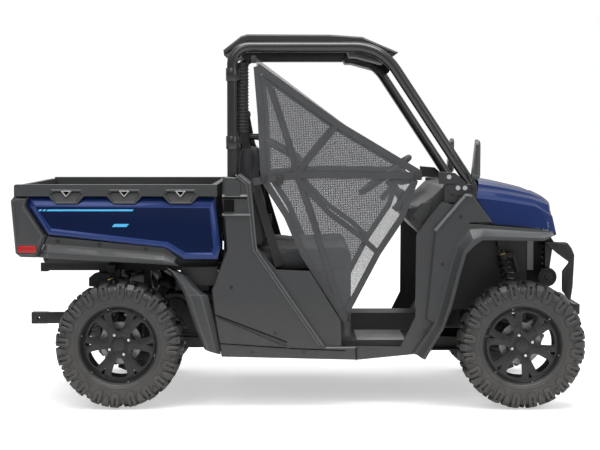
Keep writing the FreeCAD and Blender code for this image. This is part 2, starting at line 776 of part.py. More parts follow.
def steering():
    """Rack with its two tie rods, and the housing that it slides in."""
    s = S
    rack_reach = 320
    ahead = 15
    run = s.kingpin_y.value - 20 - rack_reach
    parts = [rod(s.tie_rod_radius, rack_reach * 2, (rack_x, -rack_reach, rack_z), V(0, 1, 0))]
    for side in (-1, 1):
        # The outer rod runs forward a little, to the middle of the eye's swing
        way = V(ahead, side * run, 0)
        at = (rack_x, side * (rack_reach - 4), rack_z)
        parts.append(rod(s.tie_rod_radius - 1, way.Length, at, way))
        eye_y = side * (s.kingpin_y.value - 20)
        parts.append(rod(12, 24, (rack_x + ahead, eye_y, rack_z - 12), V(0, 0, 1)))
    node(fuse(parts), "tie_rods")
    case = box(rack_x - 22, rack_x + 22, -150, 150, rail_top_z + s.seat_gap, rack_z + 22)
    bore = rod((s.tie_rod_radius + s.running_fit) * FLAT_TO_CORNER, 320, (rack_x, -160, rack_z), V(0, 1, 0))
    node(cut(case, bore), "rack_housing")


def steering_direction():
    tilt = math.radians(S.steering_tilt.value)
    return V(math.sin(tilt), 0, -math.cos(tilt))


def steering_wheel():
    """Rim, hub and three spokes, turned about its own Z axis and then tilted."""
    s = S
    ring, thick = 26, 24
    outer = s.steering_radius
    inner = outer - ring
    whole = rings([(-thick / 2, outer - 8), (-4, outer), (4, outer), (thick / 2, outer - 8)], V(0, 0, 1), WHEEL_SIDES)
    hollow = rod(inner, thick + 2, (0, 0, -thick / 2 - 1), V(0, 0, 1), WHEEL_SIDES)
    reach = inner + 4
    hub = rod(48, 30, (0, 0, -34), V(0, 0, 1), TUBE_SIDES)
    spokes = [box(-16, 16, -reach, reach, -12, -2), box(-reach, 0, -22, 22, -12, -2)]
    joined = fuse([cut(whole, hollow), hub] + spokes)
    down = steering_direction()
    joined.Placement = FreeCAD.Placement(V(0, 0, 0), FreeCAD.Rotation(V(0, 0, -1), down))
    bind(joined, "Placement.Base.x", s.steering_x)
    bind(joined, "Placement.Base.y", s.steering_y)
    node(joined, "steering_wheel", s.steering_z)


def steering_column(dash):
    """Column from under the wheel's hub into the dashboard, cut to the dashboard's face."""
    down = steering_direction()
    start = 34 + S.seat_gap.value
    places = (S.steering_x, S.steering_y, S.steering_z)
    at = [place + down[i] * start for i, place in enumerate(places)]
    column = rod(24, 260, at, down)
    node(cut(column, dash), "steering_column")


# Cab

def cab_floor():
    """Floor, toe board and front wall in one bent panel, with the middle tunnel."""
    s = S
    body = new_body("floor_panel")
    low = rail_top_z + s.seat_gap
    wall = s.firewall_x
    points = [(s.cab_rear_x, low), (wall - 110, low), (wall, low + 217), (wall, 900), (wall - 15, 900),
              (wall - 15, low + 225), (wall - 122, s.floor_z), (s.cab_rear_x, s.floor_z)]
    middle_pad(body, points, cab_inner_y)
    tunnel = new_sketch(body, "YZ_Plane", s.seat_front_x + s.seat_gap)
    outline(tunnel, [(-s.tunnel_y, s.floor_z), (s.tunnel_y, s.floor_z), (s.tunnel_y - 30, s.tunnel_z),
                     (-s.tunnel_y + 30, s.tunnel_z)])
    pad(body, tunnel, wall - 60 - s.seat_front_x)
    node(body, "cab_floor")


def seat_box():
    s = S
    low = s.floor_z + s.seat_gap
    side = cab_inner_y
    shell = box(s.cab_rear_x, s.seat_front_x, -side, side, low, s.seat_z)
    space = box(s.cab_rear_x + s.wall, s.seat_front_x - s.wall, -side + s.wall, side - s.wall, low - 1,
                s.seat_z - s.wall)
    node(cut(shell, space), "seat_box")


def seat_pads(label, points):
    """The three-place bench and the driver's seat, as two solids of one profile."""
    bench = new_body(label + "_bench")
    right_edge = cab_inner_y - 8
    side_pad(bench, points, -S.seat_split_y + 8, right_edge)
    driver = new_body(label + "_driver")
    sketch = new_sketch(driver, "XZ_Plane", -S.seat_split_y - 8)
    outline(sketch, points)
    pad(driver, sketch, right_edge - S.seat_split_y - 8, reverse=True)
    node(group([bench, driver]), label)


def seats():
    s = S
    low = s.seat_z + s.seat_gap
    top = low + s.cushion_depth
    front = s.seat_front_x + 6
    rear = s.rear_post_x + s.bar_radius + s.seat_gap
    seat_pads("seat_cushion", [(rear, low), (front - 20, low), (front, low + 30), (front, top - 40),
                               (front - 30, top - 8), (front - 90, top), (rear, top)])
    foot = top + s.seat_gap
    seat_pads("seat_back", [(rear + 8, foot), (-200, foot), (-178, foot + 60), (-262, foot + 290),
                            (-236, foot + 360), (-228, foot + 520), (-250, foot + 536), (-305, foot + 536),
                            (-322, foot + 520), (rear, foot + 280), (rear, foot + 20)])


def side_panels():
    """Panel behind each door opening with its inner step, and the cowl in front of it."""
    s = S
    outer, inner = s.body_half_width, panel_inner_y
    ledge = outer - s.panel_relief
    rear = s.cab_rear_x
    body = new_body("side_panel")
    spine = [(rear - 22, s.sill_bottom_z + 16), (rear - 59, 492), (rear - 73, 623), (rear + 6, 837),
             (rear - 8, 1023), (rear - 20, 1108), (rear - 12, 1219), (-319, 1214), (-314, 1238), (-254, 1191)]
    sill = [(295, s.sill_top_z), (295, s.sill_bottom_z)]
    step = [(-226, 849), (-124, 730), (50, 723), (213, 461), (218, s.sill_top_z)]
    side_pad(body, spine + step + sill, inner, ledge)
    main = side_pad(body, spine + [(-226, 849), (-218, 828), (138, s.sill_top_z)] + sill, ledge, outer)
    edge = -outer.value + 0.01
    chamfer(body, main, 6, lambda e: e.BoundBox.YMax < edge)
    groove = [(rear - 44, 494), (rear + 306, 360), (rear + 328, 326), (rear + 278, 340), (rear - 40, 478)]
    side_pocket(body, groove, outer - 6, outer)
    side_pocket(body, [(rear - 1, 1035), (rear + 46, 1035), (rear + 46, 1098), (rear - 1, 1098)], ledge, outer)
    cap = [(rear - 4, 1112), (rear + 2, 1196), (rear + 12, 1206), (rear + 62, 1203), (rear + 78, 1180),
           (rear + 78, 1112)]
    side_pad(body, cap, outer, outer + 8)
    cowl = new_body("cowl_panel")
    rim = [(712, 445), (793, 779), (825, 868), (893, 975), (1011, 975), (905, 1122), (872, 1129)]
    base = [(804, 1072), (746, 1087), (668, 993), (611, 910), (608, 482), (529, 323), (297, s.sill_top_z),
            (297, s.sill_bottom_z - 3), (598, s.sill_bottom_z + 27)]
    side_pad(cowl, rim + base, inner, ledge)
    raised = side_pad(cowl, rim + [(707, 937), (694, 790), (661, 470)], ledge, outer)
    chamfer(cowl, raised, 7, lambda e: e.BoundBox.YMax < edge)
    node(group([body, mirror(body), cowl, mirror(cowl)]), "side_panels")


def wheel_flares():
    """Band over each front wheel that runs down to the sill, and the guards before the rear wheels."""
    s = S
    front = new_body("front_flare")
    points = [(882, 978), (1321, 934), (1318, 917), (1268, 885), (943, 888), (867, 818), (837, 712),
              (793, 537), (771, 458), (734, 407), (684, 312), (655, 265), (602, 287), (714, 446),
              (796, 782), (827, 870)]
    main = side_pad(front, points, s.body_half_width + s.seat_gap, flare_outer_y)
    outer_face = -flare_outer_y.value + 0.01
    chamfer(front, main, 7, lambda e: e.BoundBox.YMax < outer_face)
    shelf = [(905, 968), (1318, 927), (1310, 912), (1262, 893), (945, 896), (893, 972)]
    side_pad(front, shelf, hood_half_width + s.play, s.body_half_width + s.seat_gap)
    rear = new_body("rear_flare")
    edge = s.cab_rear_x
    outer = flare_outer_y - s.rear_flare_inset
    points = [(-690, 738), (-587, 690), (-520, 616), (-483, 596), (-473, 554), (edge - 59.4, 492),
              (edge - 24.8, s.sill_bottom_z + 30), (-499, 315), (-546, 424), (-590, 564), (-623, 653), (-665, 702)]
    guard = side_pad(rear, points, outer - s.rear_flare_depth, outer)
    rear_face = -outer.value + 0.01
    chamfer(rear, guard, 10, lambda e: e.BoundBox.YMax < rear_face)
    node(group([front, mirror(front), rear, mirror(rear)]), "wheel_flares")


hood_pivot_x = S.hood_rear_x - 14
hood_pivot_z = S.hood_rear_z - 47


def dashboard():
    """Dashboard across the cab, with the deck that reaches forward to the hood."""
    s = S
    body = new_body("dash_panel")
    back = s.firewall_x - 15 - s.seat_gap
    deck_end = hood_pivot_x - 6
    points = [(582, 1050), (580, 980), (640, 905), (back, 860), (back, 900 + s.seat_gap), (s.firewall_x, 900 + s.seat_gap),
              (s.firewall_x, 1122), (deck_end, 1166), (deck_end, 1182), (750, 1160), (700, 1110),
              (635, 1064)]
    middle_pad(body, points, cab_inner_y)
    # Lugs under the deck's edge that hold the hood's hinge pins
    lugs = []
    for low in (-s.hood_hinge_y - 12, s.hood_hinge_y - 12):
        lugs.append(box(hood_pivot_x - 6, hood_pivot_x + 6, low, low + 24, hood_pivot_z, s.hood_rear_z - 35))
        lugs.append(rod(11, 24, (hood_pivot_x, low, hood_pivot_z), V(0, 1, 0)))
    bore = rod((s.hinge_pin_radius + s.running_fit) * FLAT_TO_CORNER, s.hood_hinge_y * 2 + 44,
               (hood_pivot_x, -s.hood_hinge_y - 22, hood_pivot_z), V(0, 1, 0))
    dash = cut(fuse([body] + lugs), bore)
    node(group([dash]), "dashboard")
    return dash


def nets():
    """Restraint net over each door opening, kept as a flat sheet with its true outline."""
    body = new_body("net")
    points = [(-250, 1836), (-226, 1836), (640, 1206), (640, 1140), (262, 400), (232, 400), (-150, 1140),
              (-250, 1200)]
    outer = panel_inner_y - S.seat_gap
    side_pad(body, points, outer - 4, outer)
    node(pair(body), "side_nets")


# Cage and roof

def roof_under_z(x):
    """Height of the roof panel's underside, which drops towards the front."""
    return roof_top_z - S.roof_depth - (dim(x) + 278) * (17 / 599)


def cage():
    """Side hoops, the tubes across between them and the shoulder bars on the rear one."""
    s = S
    body = new_body("cage_side")
    foot = rail_top_z + s.seat_gap
    points = [(s.rear_post_x, foot), (s.rear_post_x, s.roof_rail_z), (s.roof_corner_x, s.roof_rail_z),
              (s.front_post_x, s.front_post_z), (s.front_post_x, 1000)]
    tube(body, "XZ_Plane", cage_y, points, [s.rear_bend, s.front_bend, 60], s.cage_tube_radius,
         "XY_Plane", foot, (s.rear_post_x, -cage_y))
    node(pair(body), "roll_cage_sides")
    reach = cage_y - s.cage_tube_radius
    bars = []
    for x, z in ((-270, roof_under_z(-270) - s.bar_radius - s.seat_gap * 2),
                 (300, roof_under_z(300) - s.bar_radius - s.seat_gap * 2),
                 (s.rear_post_x, 760), (s.front_post_x, 1020)):
        bars.append(rod(s.bar_radius, reach * 2, (x, -reach, z), V(0, 1, 0), TUBE_SIDES))
    shoulder = new_body("shoulder_bar")
    high = s.shoulder_bar_z
    tube(shoulder, "XZ_Plane", s.shoulder_y, [(s.rear_post_x, high), (-222, high), (5, high - 126), (5, high - 205)],
         [40, 50], 16, "YZ_Plane", s.rear_post_x, (-s.shoulder_y, high))
    across = rod(s.bar_radius, reach * 2, (s.rear_post_x, -reach, high), V(0, 1, 0), TUBE_SIDES)
    bars.append(fuse([across, shoulder, mirror(shoulder)]))
    node(group(bars), "cage_crossbars")


def roof_panel():
    """Hard roof with a drip edge at the rear and a visor over the front tubes."""
    s = S
    body = new_body("roof")
    top = roof_top_z
    points = [(-400, top - 111), (-404, top - 83), (-311, top - 10), (-278, top), (159, top - 2),
              (329, top - 14), (519, top - 95), (499, top - 107), (321, roof_under_z(321)),
              (-278, roof_under_z(-278))]
    main = middle_pad(body, points, roof_half_width)
    edge = roof_half_width.value - 0.01
    chamfer(body, main, 8, lambda e: e.BoundBox.YMin > edge or e.BoundBox.YMax < -edge)
    ribs = new_sketch(body, "YZ_Plane", -278)
    for low in (-420, -160, 60, 320):
        outline(ribs, [(low, top - 1), (low + 100, top - 1), (low + 80, top + 8), (low + 20, top + 8)])
    pad(body, ribs, 437)
    node(body, "roof_panel")


# Nose

def hood_block(inset):
    """The hood's outer form, or the space under it when it is inset by the wall."""
    s = S
    rear, nose = s.hood_rear_x, s.nose_x
    top = s.hood_rear_z
    side = new_body("hood_side")
    outer = [(rear, top - 60), (rear + 20, top), (1240, 1138), (1292, 1119), (1340, 1089), (1351, 1048),
             (1346, 1022), (1357, 978), (nose - 7, 934), (nose, 904), (nose - 3, 880), (1344, 926),
             (1325, 941), (1025, 972)]
    wall = s.hood_wall
    inner = [(rear + wall, 900), (rear + wall, top - 62), (rear + 29, top - wall - 2), (1238, 1126), (1286, 1108),
             (1330, 1081), (1339, 1047), (1334, 1022), (1345, 976), (nose - 19, 932), (nose - 12, 870)]
    middle_pad(side, inner if inset else outer, hood_half_width)
    half = hood_half_width - wall if inset else hood_half_width
    end = half - s.hood_taper
    plan = new_body("hood_plan")
    sketch = new_sketch(plan, "XY_Plane", 850)
    outline(sketch, [(rear - 10, -half), (1150, -half), (nose + 10, -end), (nose + 10, end), (1150, half),
                     (rear - 10, half)])
    pad(plan, sketch, 400)
    low = top - (wall if inset else 0)
    wide = hood_half_width
    crown = [(-wide, 780), (-wide, low - 100), (-wide + 34, low - 44), (-wide + 150, low - 16), (-260, low - 14),
             (-225, low + 4)]
    section = new_body("hood_section")
    sketch = new_sketch(section, "YZ_Plane", rear - 20)
    outline(sketch, crown + [(-a, b) for a, b in crown[::-1]])
    along = pad(section, sketch, nose - rear + 40)
    along.UseCustomVector = True
    along.Direction = V(1, 0, -0.218)
    along.AlongSketchNormal = True
    block = doc.addObject("Part::MultiCommon", "hood_block")
    block.Shapes = [side, plan, section]
    return block


def hood():
    """One-piece hood, a shell that is open underneath, with its lamp windows and hinge ears."""
    s = S
    rear = s.hood_rear_x
    shell = cut(hood_block(False), hood_block(True))
    ears = []
    hinge = s.hood_hinge_y
    for low, start in ((-hinge + 18, -hinge - 8), (hinge - 48, hinge - 48)):
        ears.append(box(hood_pivot_x - 7, rear + 8, low, low + 30, hood_pivot_z - 7, hood_pivot_z + 7))
        ears.append(rod(s.hinge_pin_radius, 56, (hood_pivot_x, start, hood_pivot_z), V(0, 1, 0)))
    windows = both_sides(1300, s.nose_x + 20, s.lamp_inner_y + 12, s.lamp_outer_y - 12, 940, 1006)
    node(cut(fuse([shell] + ears), fuse(windows)), "hood")


guard_inner_y = dim(400)


def front_fascia():
    """Panel under the hood's nose with the grille slots."""
    s = S
    body = new_body("fascia")
    back = s.frame_front_x + s.seat_gap
    points = [(back, 640), (back + 14, 640), (back + 44, 862), (back + 15, 905), (back - 10, 905),
              (back - 10, 868), (back, 868)]
    middle_pad(body, points, guard_inner_y - s.seat_gap)
    slots = []
    for step in range(GRILLE_SLOTS):
        low = s.grille_low_z + s.grille_pitch * step
        slots.append(box(back - 20, back + 80, -s.grille_half_width, s.grille_half_width, low, low + s.grille_slot))
    node(cut(body, fuse(slots)), "front_fascia")


def head_lamps():
    lamp = box(1304, 1328, -S.lamp_outer_y, -S.lamp_inner_y, 905 + S.seat_gap, 1000)
    node(pair(lamp), "head_lamps")


def front_bumper():
    """Brush guard uprights and the cross bar below them."""
    s = S
    body = new_body("guard")
    x = s.bumper_x
    points = [(x - 162, 861), (x - 38, 856), (x - 15, 826), (x, 788), (x - 8, 616), (x - 19, 540), (x - 60, 593),
              (x - 60, 699), (x - 23, 748), (x - 90, 797)]
    side_pad(body, points, guard_inner_y, guard_inner_y + 60)
    block = box(x + 9, x + 50, -350, 350, 457, 514)
    link = box(x - 12 + s.seat_gap, x + 9, -350, 350, 468, 500)
    node(fuse([body, mirror(body), block, link]), "front_bumper")


def radiator():
    reach = rail_inner_y - S.seat_gap
    core = box(1245, 1283, -reach, reach, 600, 820)
    node(group([core]), "radiator")


def engine():
    """The engine as one plain block, and the silencer across the frame behind it."""
    block = box(-760, -440, -190, 190, rail_top_z + S.seat_gap, 640)
    node(group([block]), "engine_block")
    reach = rail_inner_y - S.seat_gap
    can = rod(75, reach * 2, (-876, -reach, 600), V(0, 1, 0), 16)
    node(group([can]), "silencer")


def mirrors():
    """Mirror heads on stalks that stand on the front posts."""
    s = S
    stalk_radius = 8
    start = cage_y + s.cage_tube_radius + stalk_radius * 0.8 + s.seat_gap
    stalk = rod(stalk_radius, 90, (s.front_post_x, -start, 1150), V(0, -0.6, 0.8))
    head = new_body("mirror_head")
    sketch = new_sketch(head, "YZ_Plane", 892)
    near = -start - 16
    outline(sketch, [(near - 22, 1204), (near - 4, 1232), (near, 1392), (near - 12, 1414), (near - 82, 1408),
                     (near - 97, 1388), (near - 91, 1226), (near - 75, 1206)])
    glass = pad(head, sketch, 44)
    front = 892 + 44 - 0.01
    chamfer(head, glass, 12, lambda e: e.BoundBox.XMin > front)
    node(pair(fuse([stalk, head])), "mirrors")


def intake_duct():
    """Corrugated air intake that stands beside the right rear post."""
    s = S
    ahead = 50
    beside = math.sqrt((s.cage_tube_radius.value + s.duct_radius.value + 0.6) ** 2 - ahead ** 2)
    low_z = s.shoulder_bar_z + s.bar_radius + s.seat_gap
    stations = [(0, s.duct_radius)]
    for fold in range(5):
        low = 20 + fold * 68
        stations += [(low + 12, s.duct_radius), (low + 29, s.duct_radius - 8), (low + 46, s.duct_radius)]
    stations += [(370, s.duct_radius)]
    duct = rings(stations, V(0, 0, 1), 8)
    bind(duct, "Placement.Base.x", s.rear_post_x + ahead)
    bind(duct, "Placement.Base.y", beside - cage_y)
    node(duct, "intake_duct", low_z)


# Load bed

gate_pivot_x = tub_rear_x - S.play - S.tailgate_depth / 2
gate_pivot_z = S.bed_floor_z - 12


def hook_recess(x, grow):
    """Outline of the sunk hook plate in the bed's top rail, wide at the top."""
    low = S.bed_top_z - S.hook_depth - grow
    high = S.bed_top_z - S.bed_rail_depth
    return [(x - 92 - grow, high), (x - 62 - grow, low), (x + 62 + grow, low), (x + 92 + grow, high)]


def bed_tub():
    """Open tub with its floor, walls, top rails and the rails that it tilts on."""
    s = S
    floor_low = s.bed_floor_z - 18
    front, rear = tub_front_x, tub_rear_x
    wall = bed_inner_y + s.bed_wall
    rail_low = s.bed_top_z - s.bed_rail_depth
    whole = box(rear, front, -wall, wall, floor_low, rail_low)
    space = box(rear - 1, front - s.bed_wall, -bed_inner_y, bed_inner_y, s.bed_floor_z, s.bed_top_z + 1)
    rails = box(s.bed_rear_x, front + 8, -s.bed_half_width, s.bed_half_width, rail_low, s.bed_top_z)
    rail_space = box(s.bed_rear_x - 1, front - s.bed_wall, -bed_inner_y, bed_inner_y, rail_low - 1,
                     s.bed_top_z + 1)
    # Plates under the rails, each with a sunk field for its tie hook
    plates = new_body("hook_plates")
    sunk = new_body("hook_fields")
    for x in hook_places:
        low = s.bed_top_z - s.hook_depth
        side_pad(plates, hook_recess(x, 0), wall - 1, s.bed_half_width)
        field = [(x - 66, s.bed_top_z - 36), (x - 78, s.bed_top_z - 50), (x - 54, low + 10), (x + 54, low + 10),
                 (x + 78, s.bed_top_z - 50), (x + 66, s.bed_top_z - 36)]
        side_pad(sunk, field, s.bed_half_width - 16, s.bed_half_width + 1)
    runners = both_sides(s.bed_pivot_x, s.cab_rear_x - 60, rail_inner_y, rail_outer_y,
                         s.bed_rail_top_z + s.seat_gap, floor_low)
    for low in (-rail_outer_y, rail_inner_y):
        runners.append(rod(s.bed_pivot_z - s.bed_rail_top_z - s.seat_gap, s.rail_width,
                           (s.bed_pivot_x, low, s.bed_pivot_z), V(0, 1, 0)))
    pivot_bore = rod((s.bed_pin_radius + s.running_fit) * FLAT_TO_CORNER, rail_outer_y * 2 + 10,
                     (s.bed_pivot_x, -rail_outer_y - 5, s.bed_pivot_z), V(0, 1, 0))
    # Ribs of the load floor, clear of its middle
    ribs = []
    for side in (-1, 1):
        for middle in (120, 330, 540):
            ribs.append(box(rear + 20, front - s.bed_wall - 30, side * middle - 22, side * middle + 22,
                            s.bed_floor_z - 1, s.bed_floor_z + 6))
    # Lugs at the floor's rear edge for the tailgate's hinge pins
    lugs = []
    for low in (-s.gate_hinge_y - 15, s.gate_hinge_y - 15):
        lugs.append(box(gate_pivot_x, rear + 1, low, low + 30, gate_pivot_z - 8, gate_pivot_z + 10))
        lugs.append(rod(13, 30, (gate_pivot_x, low, gate_pivot_z), V(0, 1, 0)))
    bore = rod((s.hinge_pin_radius + s.running_fit) * FLAT_TO_CORNER, s.gate_hinge_y * 2 + 50,
               (gate_pivot_x, -s.gate_hinge_y - 25, gate_pivot_z), V(0, 1, 0))
    tub = fuse([cut(whole, space), cut(rails, rail_space), plates, mirror(plates)] + ribs + runners + lugs)
    node(cut(cut(tub, fuse([bore, sunk, mirror(sunk)])), pivot_bore), "bed_tub")


def bed_sides():
    """Painted panel on each side of the bed, notched for the hook plates."""
    s = S
    body = new_body("bed_side")
    top = s.bed_top_z - s.bed_rail_depth - s.seat_gap
    front, rear = s.bed_front_x, s.bed_rear_x
    inner = bed_inner_y + s.bed_wall + s.seat_gap
    outer = s.bed_half_width - 2
    notches = []
    for x in hook_places:
        notches += [(a, top) if i in (0, 3) else (a, b)
                    for i, (a, b) in enumerate(hook_recess(x, s.seat_gap))]
    points = [(rear + 74, top)] + notches + [(front - 6, top), (front + 26, 849), (front + 9, 789), (-605, 789),
                                             (-700, 849), (rear + 173, 917), (rear + 59, 1073)]
    main = side_pad(body, points, inner, outer)
    low = top.value - 1
    outer_face = -outer.value + 0.01
    chamfer(body, main, 12, lambda e: e.BoundBox.YMax < outer_face and e.BoundBox.ZMin < low - 60)
    field = [(rear + 94, 1063), (front - 24, 1063), (front + 4, 862), (-696, 868), (rear + 190, 932)]
    side_pocket(body, field, outer - s.field_depth, outer)
    node(pair(body), "bed_sides")


def bed_trims():
    """Rear corner caps and the lower trim of the bed, in dark plastic."""
    s = S
    rear = s.bed_rear_x
    inner = bed_inner_y + s.bed_wall + s.seat_gap
    outer = s.bed_half_width - 4
    top = s.bed_top_z - s.bed_rail_depth - s.seat_gap
    cap = new_body("corner_cap")
    points = [(rear, top), (rear - 25, 1094), (rear, 819), (rear + 24, 799), (rear + 108, 797),
              (rear + 160, 909), (rear + 55, 1070), (rear + 70, top)]
    side_pad(cap, points, inner, outer)
    trim = new_body("lower_trim")
    points = [(rear + 170, 909), (-700, 843), (-641, 795), (-631, 752), (-685, 760), (rear + 113, 797)]
    side_pad(trim, points, inner, outer - 8)
    ridge = [(rear + 160, 872), (-716, 822), (-680, 790), (-700, 776), (rear + 130, 812)]
    side_pad(trim, ridge, outer - 8, outer)
    node(group([cap, mirror(cap), trim, mirror(trim)]), "bed_trims")


def tail_lamps():
    s = S
    rear = s.bed_rear_x
    outer = s.bed_half_width - 4 + s.seat_gap
    lamp = box(rear + 14, rear + 110, -outer - 8, -outer, 822, 860)
    node(pair(lamp), "tail_lamps")


def tailgate():
    """Tailgate with its two sunk fields, the top lip and the hinge barrels."""
    s = S
    x = tub_rear_x - s.play
    low_z = s.bed_floor_z + s.play
    high_z = s.bed_top_z - 8
    board = box(x - s.tailgate_depth, x, -tailgate_y, tailgate_y, low_z, high_z)
    fields = both_sides(x - s.tailgate_depth - 1, x - s.tailgate_depth + s.field_depth, 40, tailgate_y - 70,
                        low_z + 50, high_z - 70)
    parts = [cut(board, fuse(fields))]
    # Two barrels each side of a lug, on one pin
    for middle in (-s.gate_hinge_y, s.gate_hinge_y):
        for low in (middle - 50, middle + 20):
            parts.append(box(x - s.tailgate_depth + 1, x - 1, low, low + 30, gate_pivot_z, low_z + 1))
            parts.append(rod(13, 30, (gate_pivot_x, low, gate_pivot_z), V(0, 1, 0)))
        parts.append(rod(s.hinge_pin_radius, 90, (gate_pivot_x, middle - 45, gate_pivot_z), V(0, 1, 0)))
    node(fuse(parts), "tailgate")


wheels()
chassis_frame()
skid_plate()
hitch_receiver()
arms()
knuckles()
driveline()
dampers()
steering()
steering_wheel()
cab_floor()
seat_box()
seats()
side_panels()
wheel_flares()
steering_column(dashboard())
nets()
cage()
roof_panel()
hood()
front_fascia()
head_lamps()
front_bumper()
radiator()
engine()
mirrors()
intake_duct()
bed_tub()
bed_sides()
bed_trims()
tail_lamps()
tailgate()
doc.recompute()

faults = [thing.Name + " " + str(thing.State) for thing in doc.Objects
          if "Invalid" in thing.State or "Error" in thing.State]
faults += [thing.Label + " has no valid shape" for thing in nodes
           if thing.Shape.isNull() or not thing.Shape.isValid() or not thing.Shape.Solids]
if faults:
    raise RuntimeError("; ".join(faults))

os.makedirs("parts", exist_ok=True)
for thing in nodes:
    thing.Shape.exportStep(os.path.join("parts", thing.Label + ".step"))
print("wrote %d sub-parts" % len(nodes))
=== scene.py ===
"""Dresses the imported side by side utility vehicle: tyres, paint, plastics, seats, nets and small fittings."""
import json
import math

import bmesh
import bpy
from bpy.props import FloatProperty, FloatVectorProperty, IntProperty, PointerProperty
from mathutils import Euler, Matrix, Vector, noise

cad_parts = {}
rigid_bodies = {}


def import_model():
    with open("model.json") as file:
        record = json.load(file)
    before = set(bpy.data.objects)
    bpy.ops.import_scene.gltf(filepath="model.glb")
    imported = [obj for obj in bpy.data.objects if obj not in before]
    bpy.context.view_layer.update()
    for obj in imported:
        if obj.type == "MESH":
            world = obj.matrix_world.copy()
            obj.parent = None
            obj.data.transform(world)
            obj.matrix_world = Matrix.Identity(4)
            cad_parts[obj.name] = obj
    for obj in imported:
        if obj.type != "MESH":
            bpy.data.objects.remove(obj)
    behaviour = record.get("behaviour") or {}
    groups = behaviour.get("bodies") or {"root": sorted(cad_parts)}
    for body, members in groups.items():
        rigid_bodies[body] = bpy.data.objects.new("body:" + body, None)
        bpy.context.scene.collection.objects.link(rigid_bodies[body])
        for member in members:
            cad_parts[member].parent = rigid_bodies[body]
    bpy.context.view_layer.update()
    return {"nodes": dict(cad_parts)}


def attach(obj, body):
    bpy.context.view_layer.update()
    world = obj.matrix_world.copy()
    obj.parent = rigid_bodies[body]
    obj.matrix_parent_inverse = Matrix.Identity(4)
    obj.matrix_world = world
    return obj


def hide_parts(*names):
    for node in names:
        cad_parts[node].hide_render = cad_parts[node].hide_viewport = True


bl_info = {
    "name": "Side by Side Finish",
    "version": (1, 0, 0),
    "blender": (4, 5, 0),
    "location": "3D View > Sidebar > Vehicle",
    "description": "Makes the visible pieces and finishes of a side by side utility vehicle",
    "category": "Object",
}

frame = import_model()
nodes = frame["nodes"]

MM = 0.001
FRONT_AXLE = 1164.0
REAR_AXLE = -951.0
AXLE_Z = 336.0
FRONT_WHEEL_Y = 665.0
REAR_WHEEL_Y = 640.0
CAGE_Y = 640.0
PANEL_Y = 720.0
# Radius of the tyre's crown below its lugs
CROWN_RADIUS = 318.0
# Fall of the bed's lower trim towards the front
TRIM_FALL = 0.0767
NET_Y = 672.7
# The camera that spots on the near side are given from: its distance and height in millimetres, then
# the middle column, the row at its height and its focal length in pixels
VIEW_DISTANCE = 9400
VIEW_HEIGHT = 1458
VIEW_COLUMN = 300
VIEW_ROW = 131
VIEW_FOCAL = 1663


# Shapes, in millimetres

def arc_path(points, radii, step=9.0):
    """The path through the points with an arc at each inner one."""
    points = [Vector(p) for p in points]
    if not isinstance(radii, (list, tuple)):
        radii = [radii] * (len(points) - 2)
    path = [points[0]]
    for before, corner, after, radius in zip(points, points[1:], points[2:], radii):
        into = (before - corner).normalized()
        out = (after - corner).normalized()
        turn = math.pi - into.angle(out)
        if turn < 0.02 or radius <= 0:
            path.append(corner)
            continue
        back = radius * math.tan(turn / 2)
        back = min(back, (before - corner).length * 0.49, (after - corner).length * 0.49)
        radius = back / math.tan(turn / 2)
        centre = corner + (into + out).normalized() * (radius / math.cos(turn / 2))
        start = corner + into * back - centre
        end = corner + out * back - centre
        count = max(2, int(math.degrees(turn) / step))
        for i in range(count + 1):
            path.append(centre + start.normalized().slerp(end.normalized(), i / count) * radius)
    path.append(points[-1])
    return path


def directions(path):
    """The way at each point of a path."""
    ways = [(b - a).normalized() for a, b in zip(path, path[1:])]
    return [ways[0]] + [(a + b).normalized() for a, b in zip(ways, ways[1:])] + [ways[-1]]


def bar_faces(n, count):
    """Faces of a bar through a number of sections with n corners each, its two ends first."""
    last = (count - 1) * n
    faces = [list(range(n)), [last + k for k in reversed(range(n))]]
    for low in range(0, last, n):
        faces += [[low + k, low + (k + 1) % n, low + n + (k + 1) % n, low + n + k] for k in range(n)]
    return faces


def grid_faces(rows, width):
    """Faces of a grid of points given row by row."""
    return [[i * width + k, i * width + k + 1, (i + 1) * width + k + 1, (i + 1) * width + k]
            for i in range(rows - 1) for k in range(width - 1)]


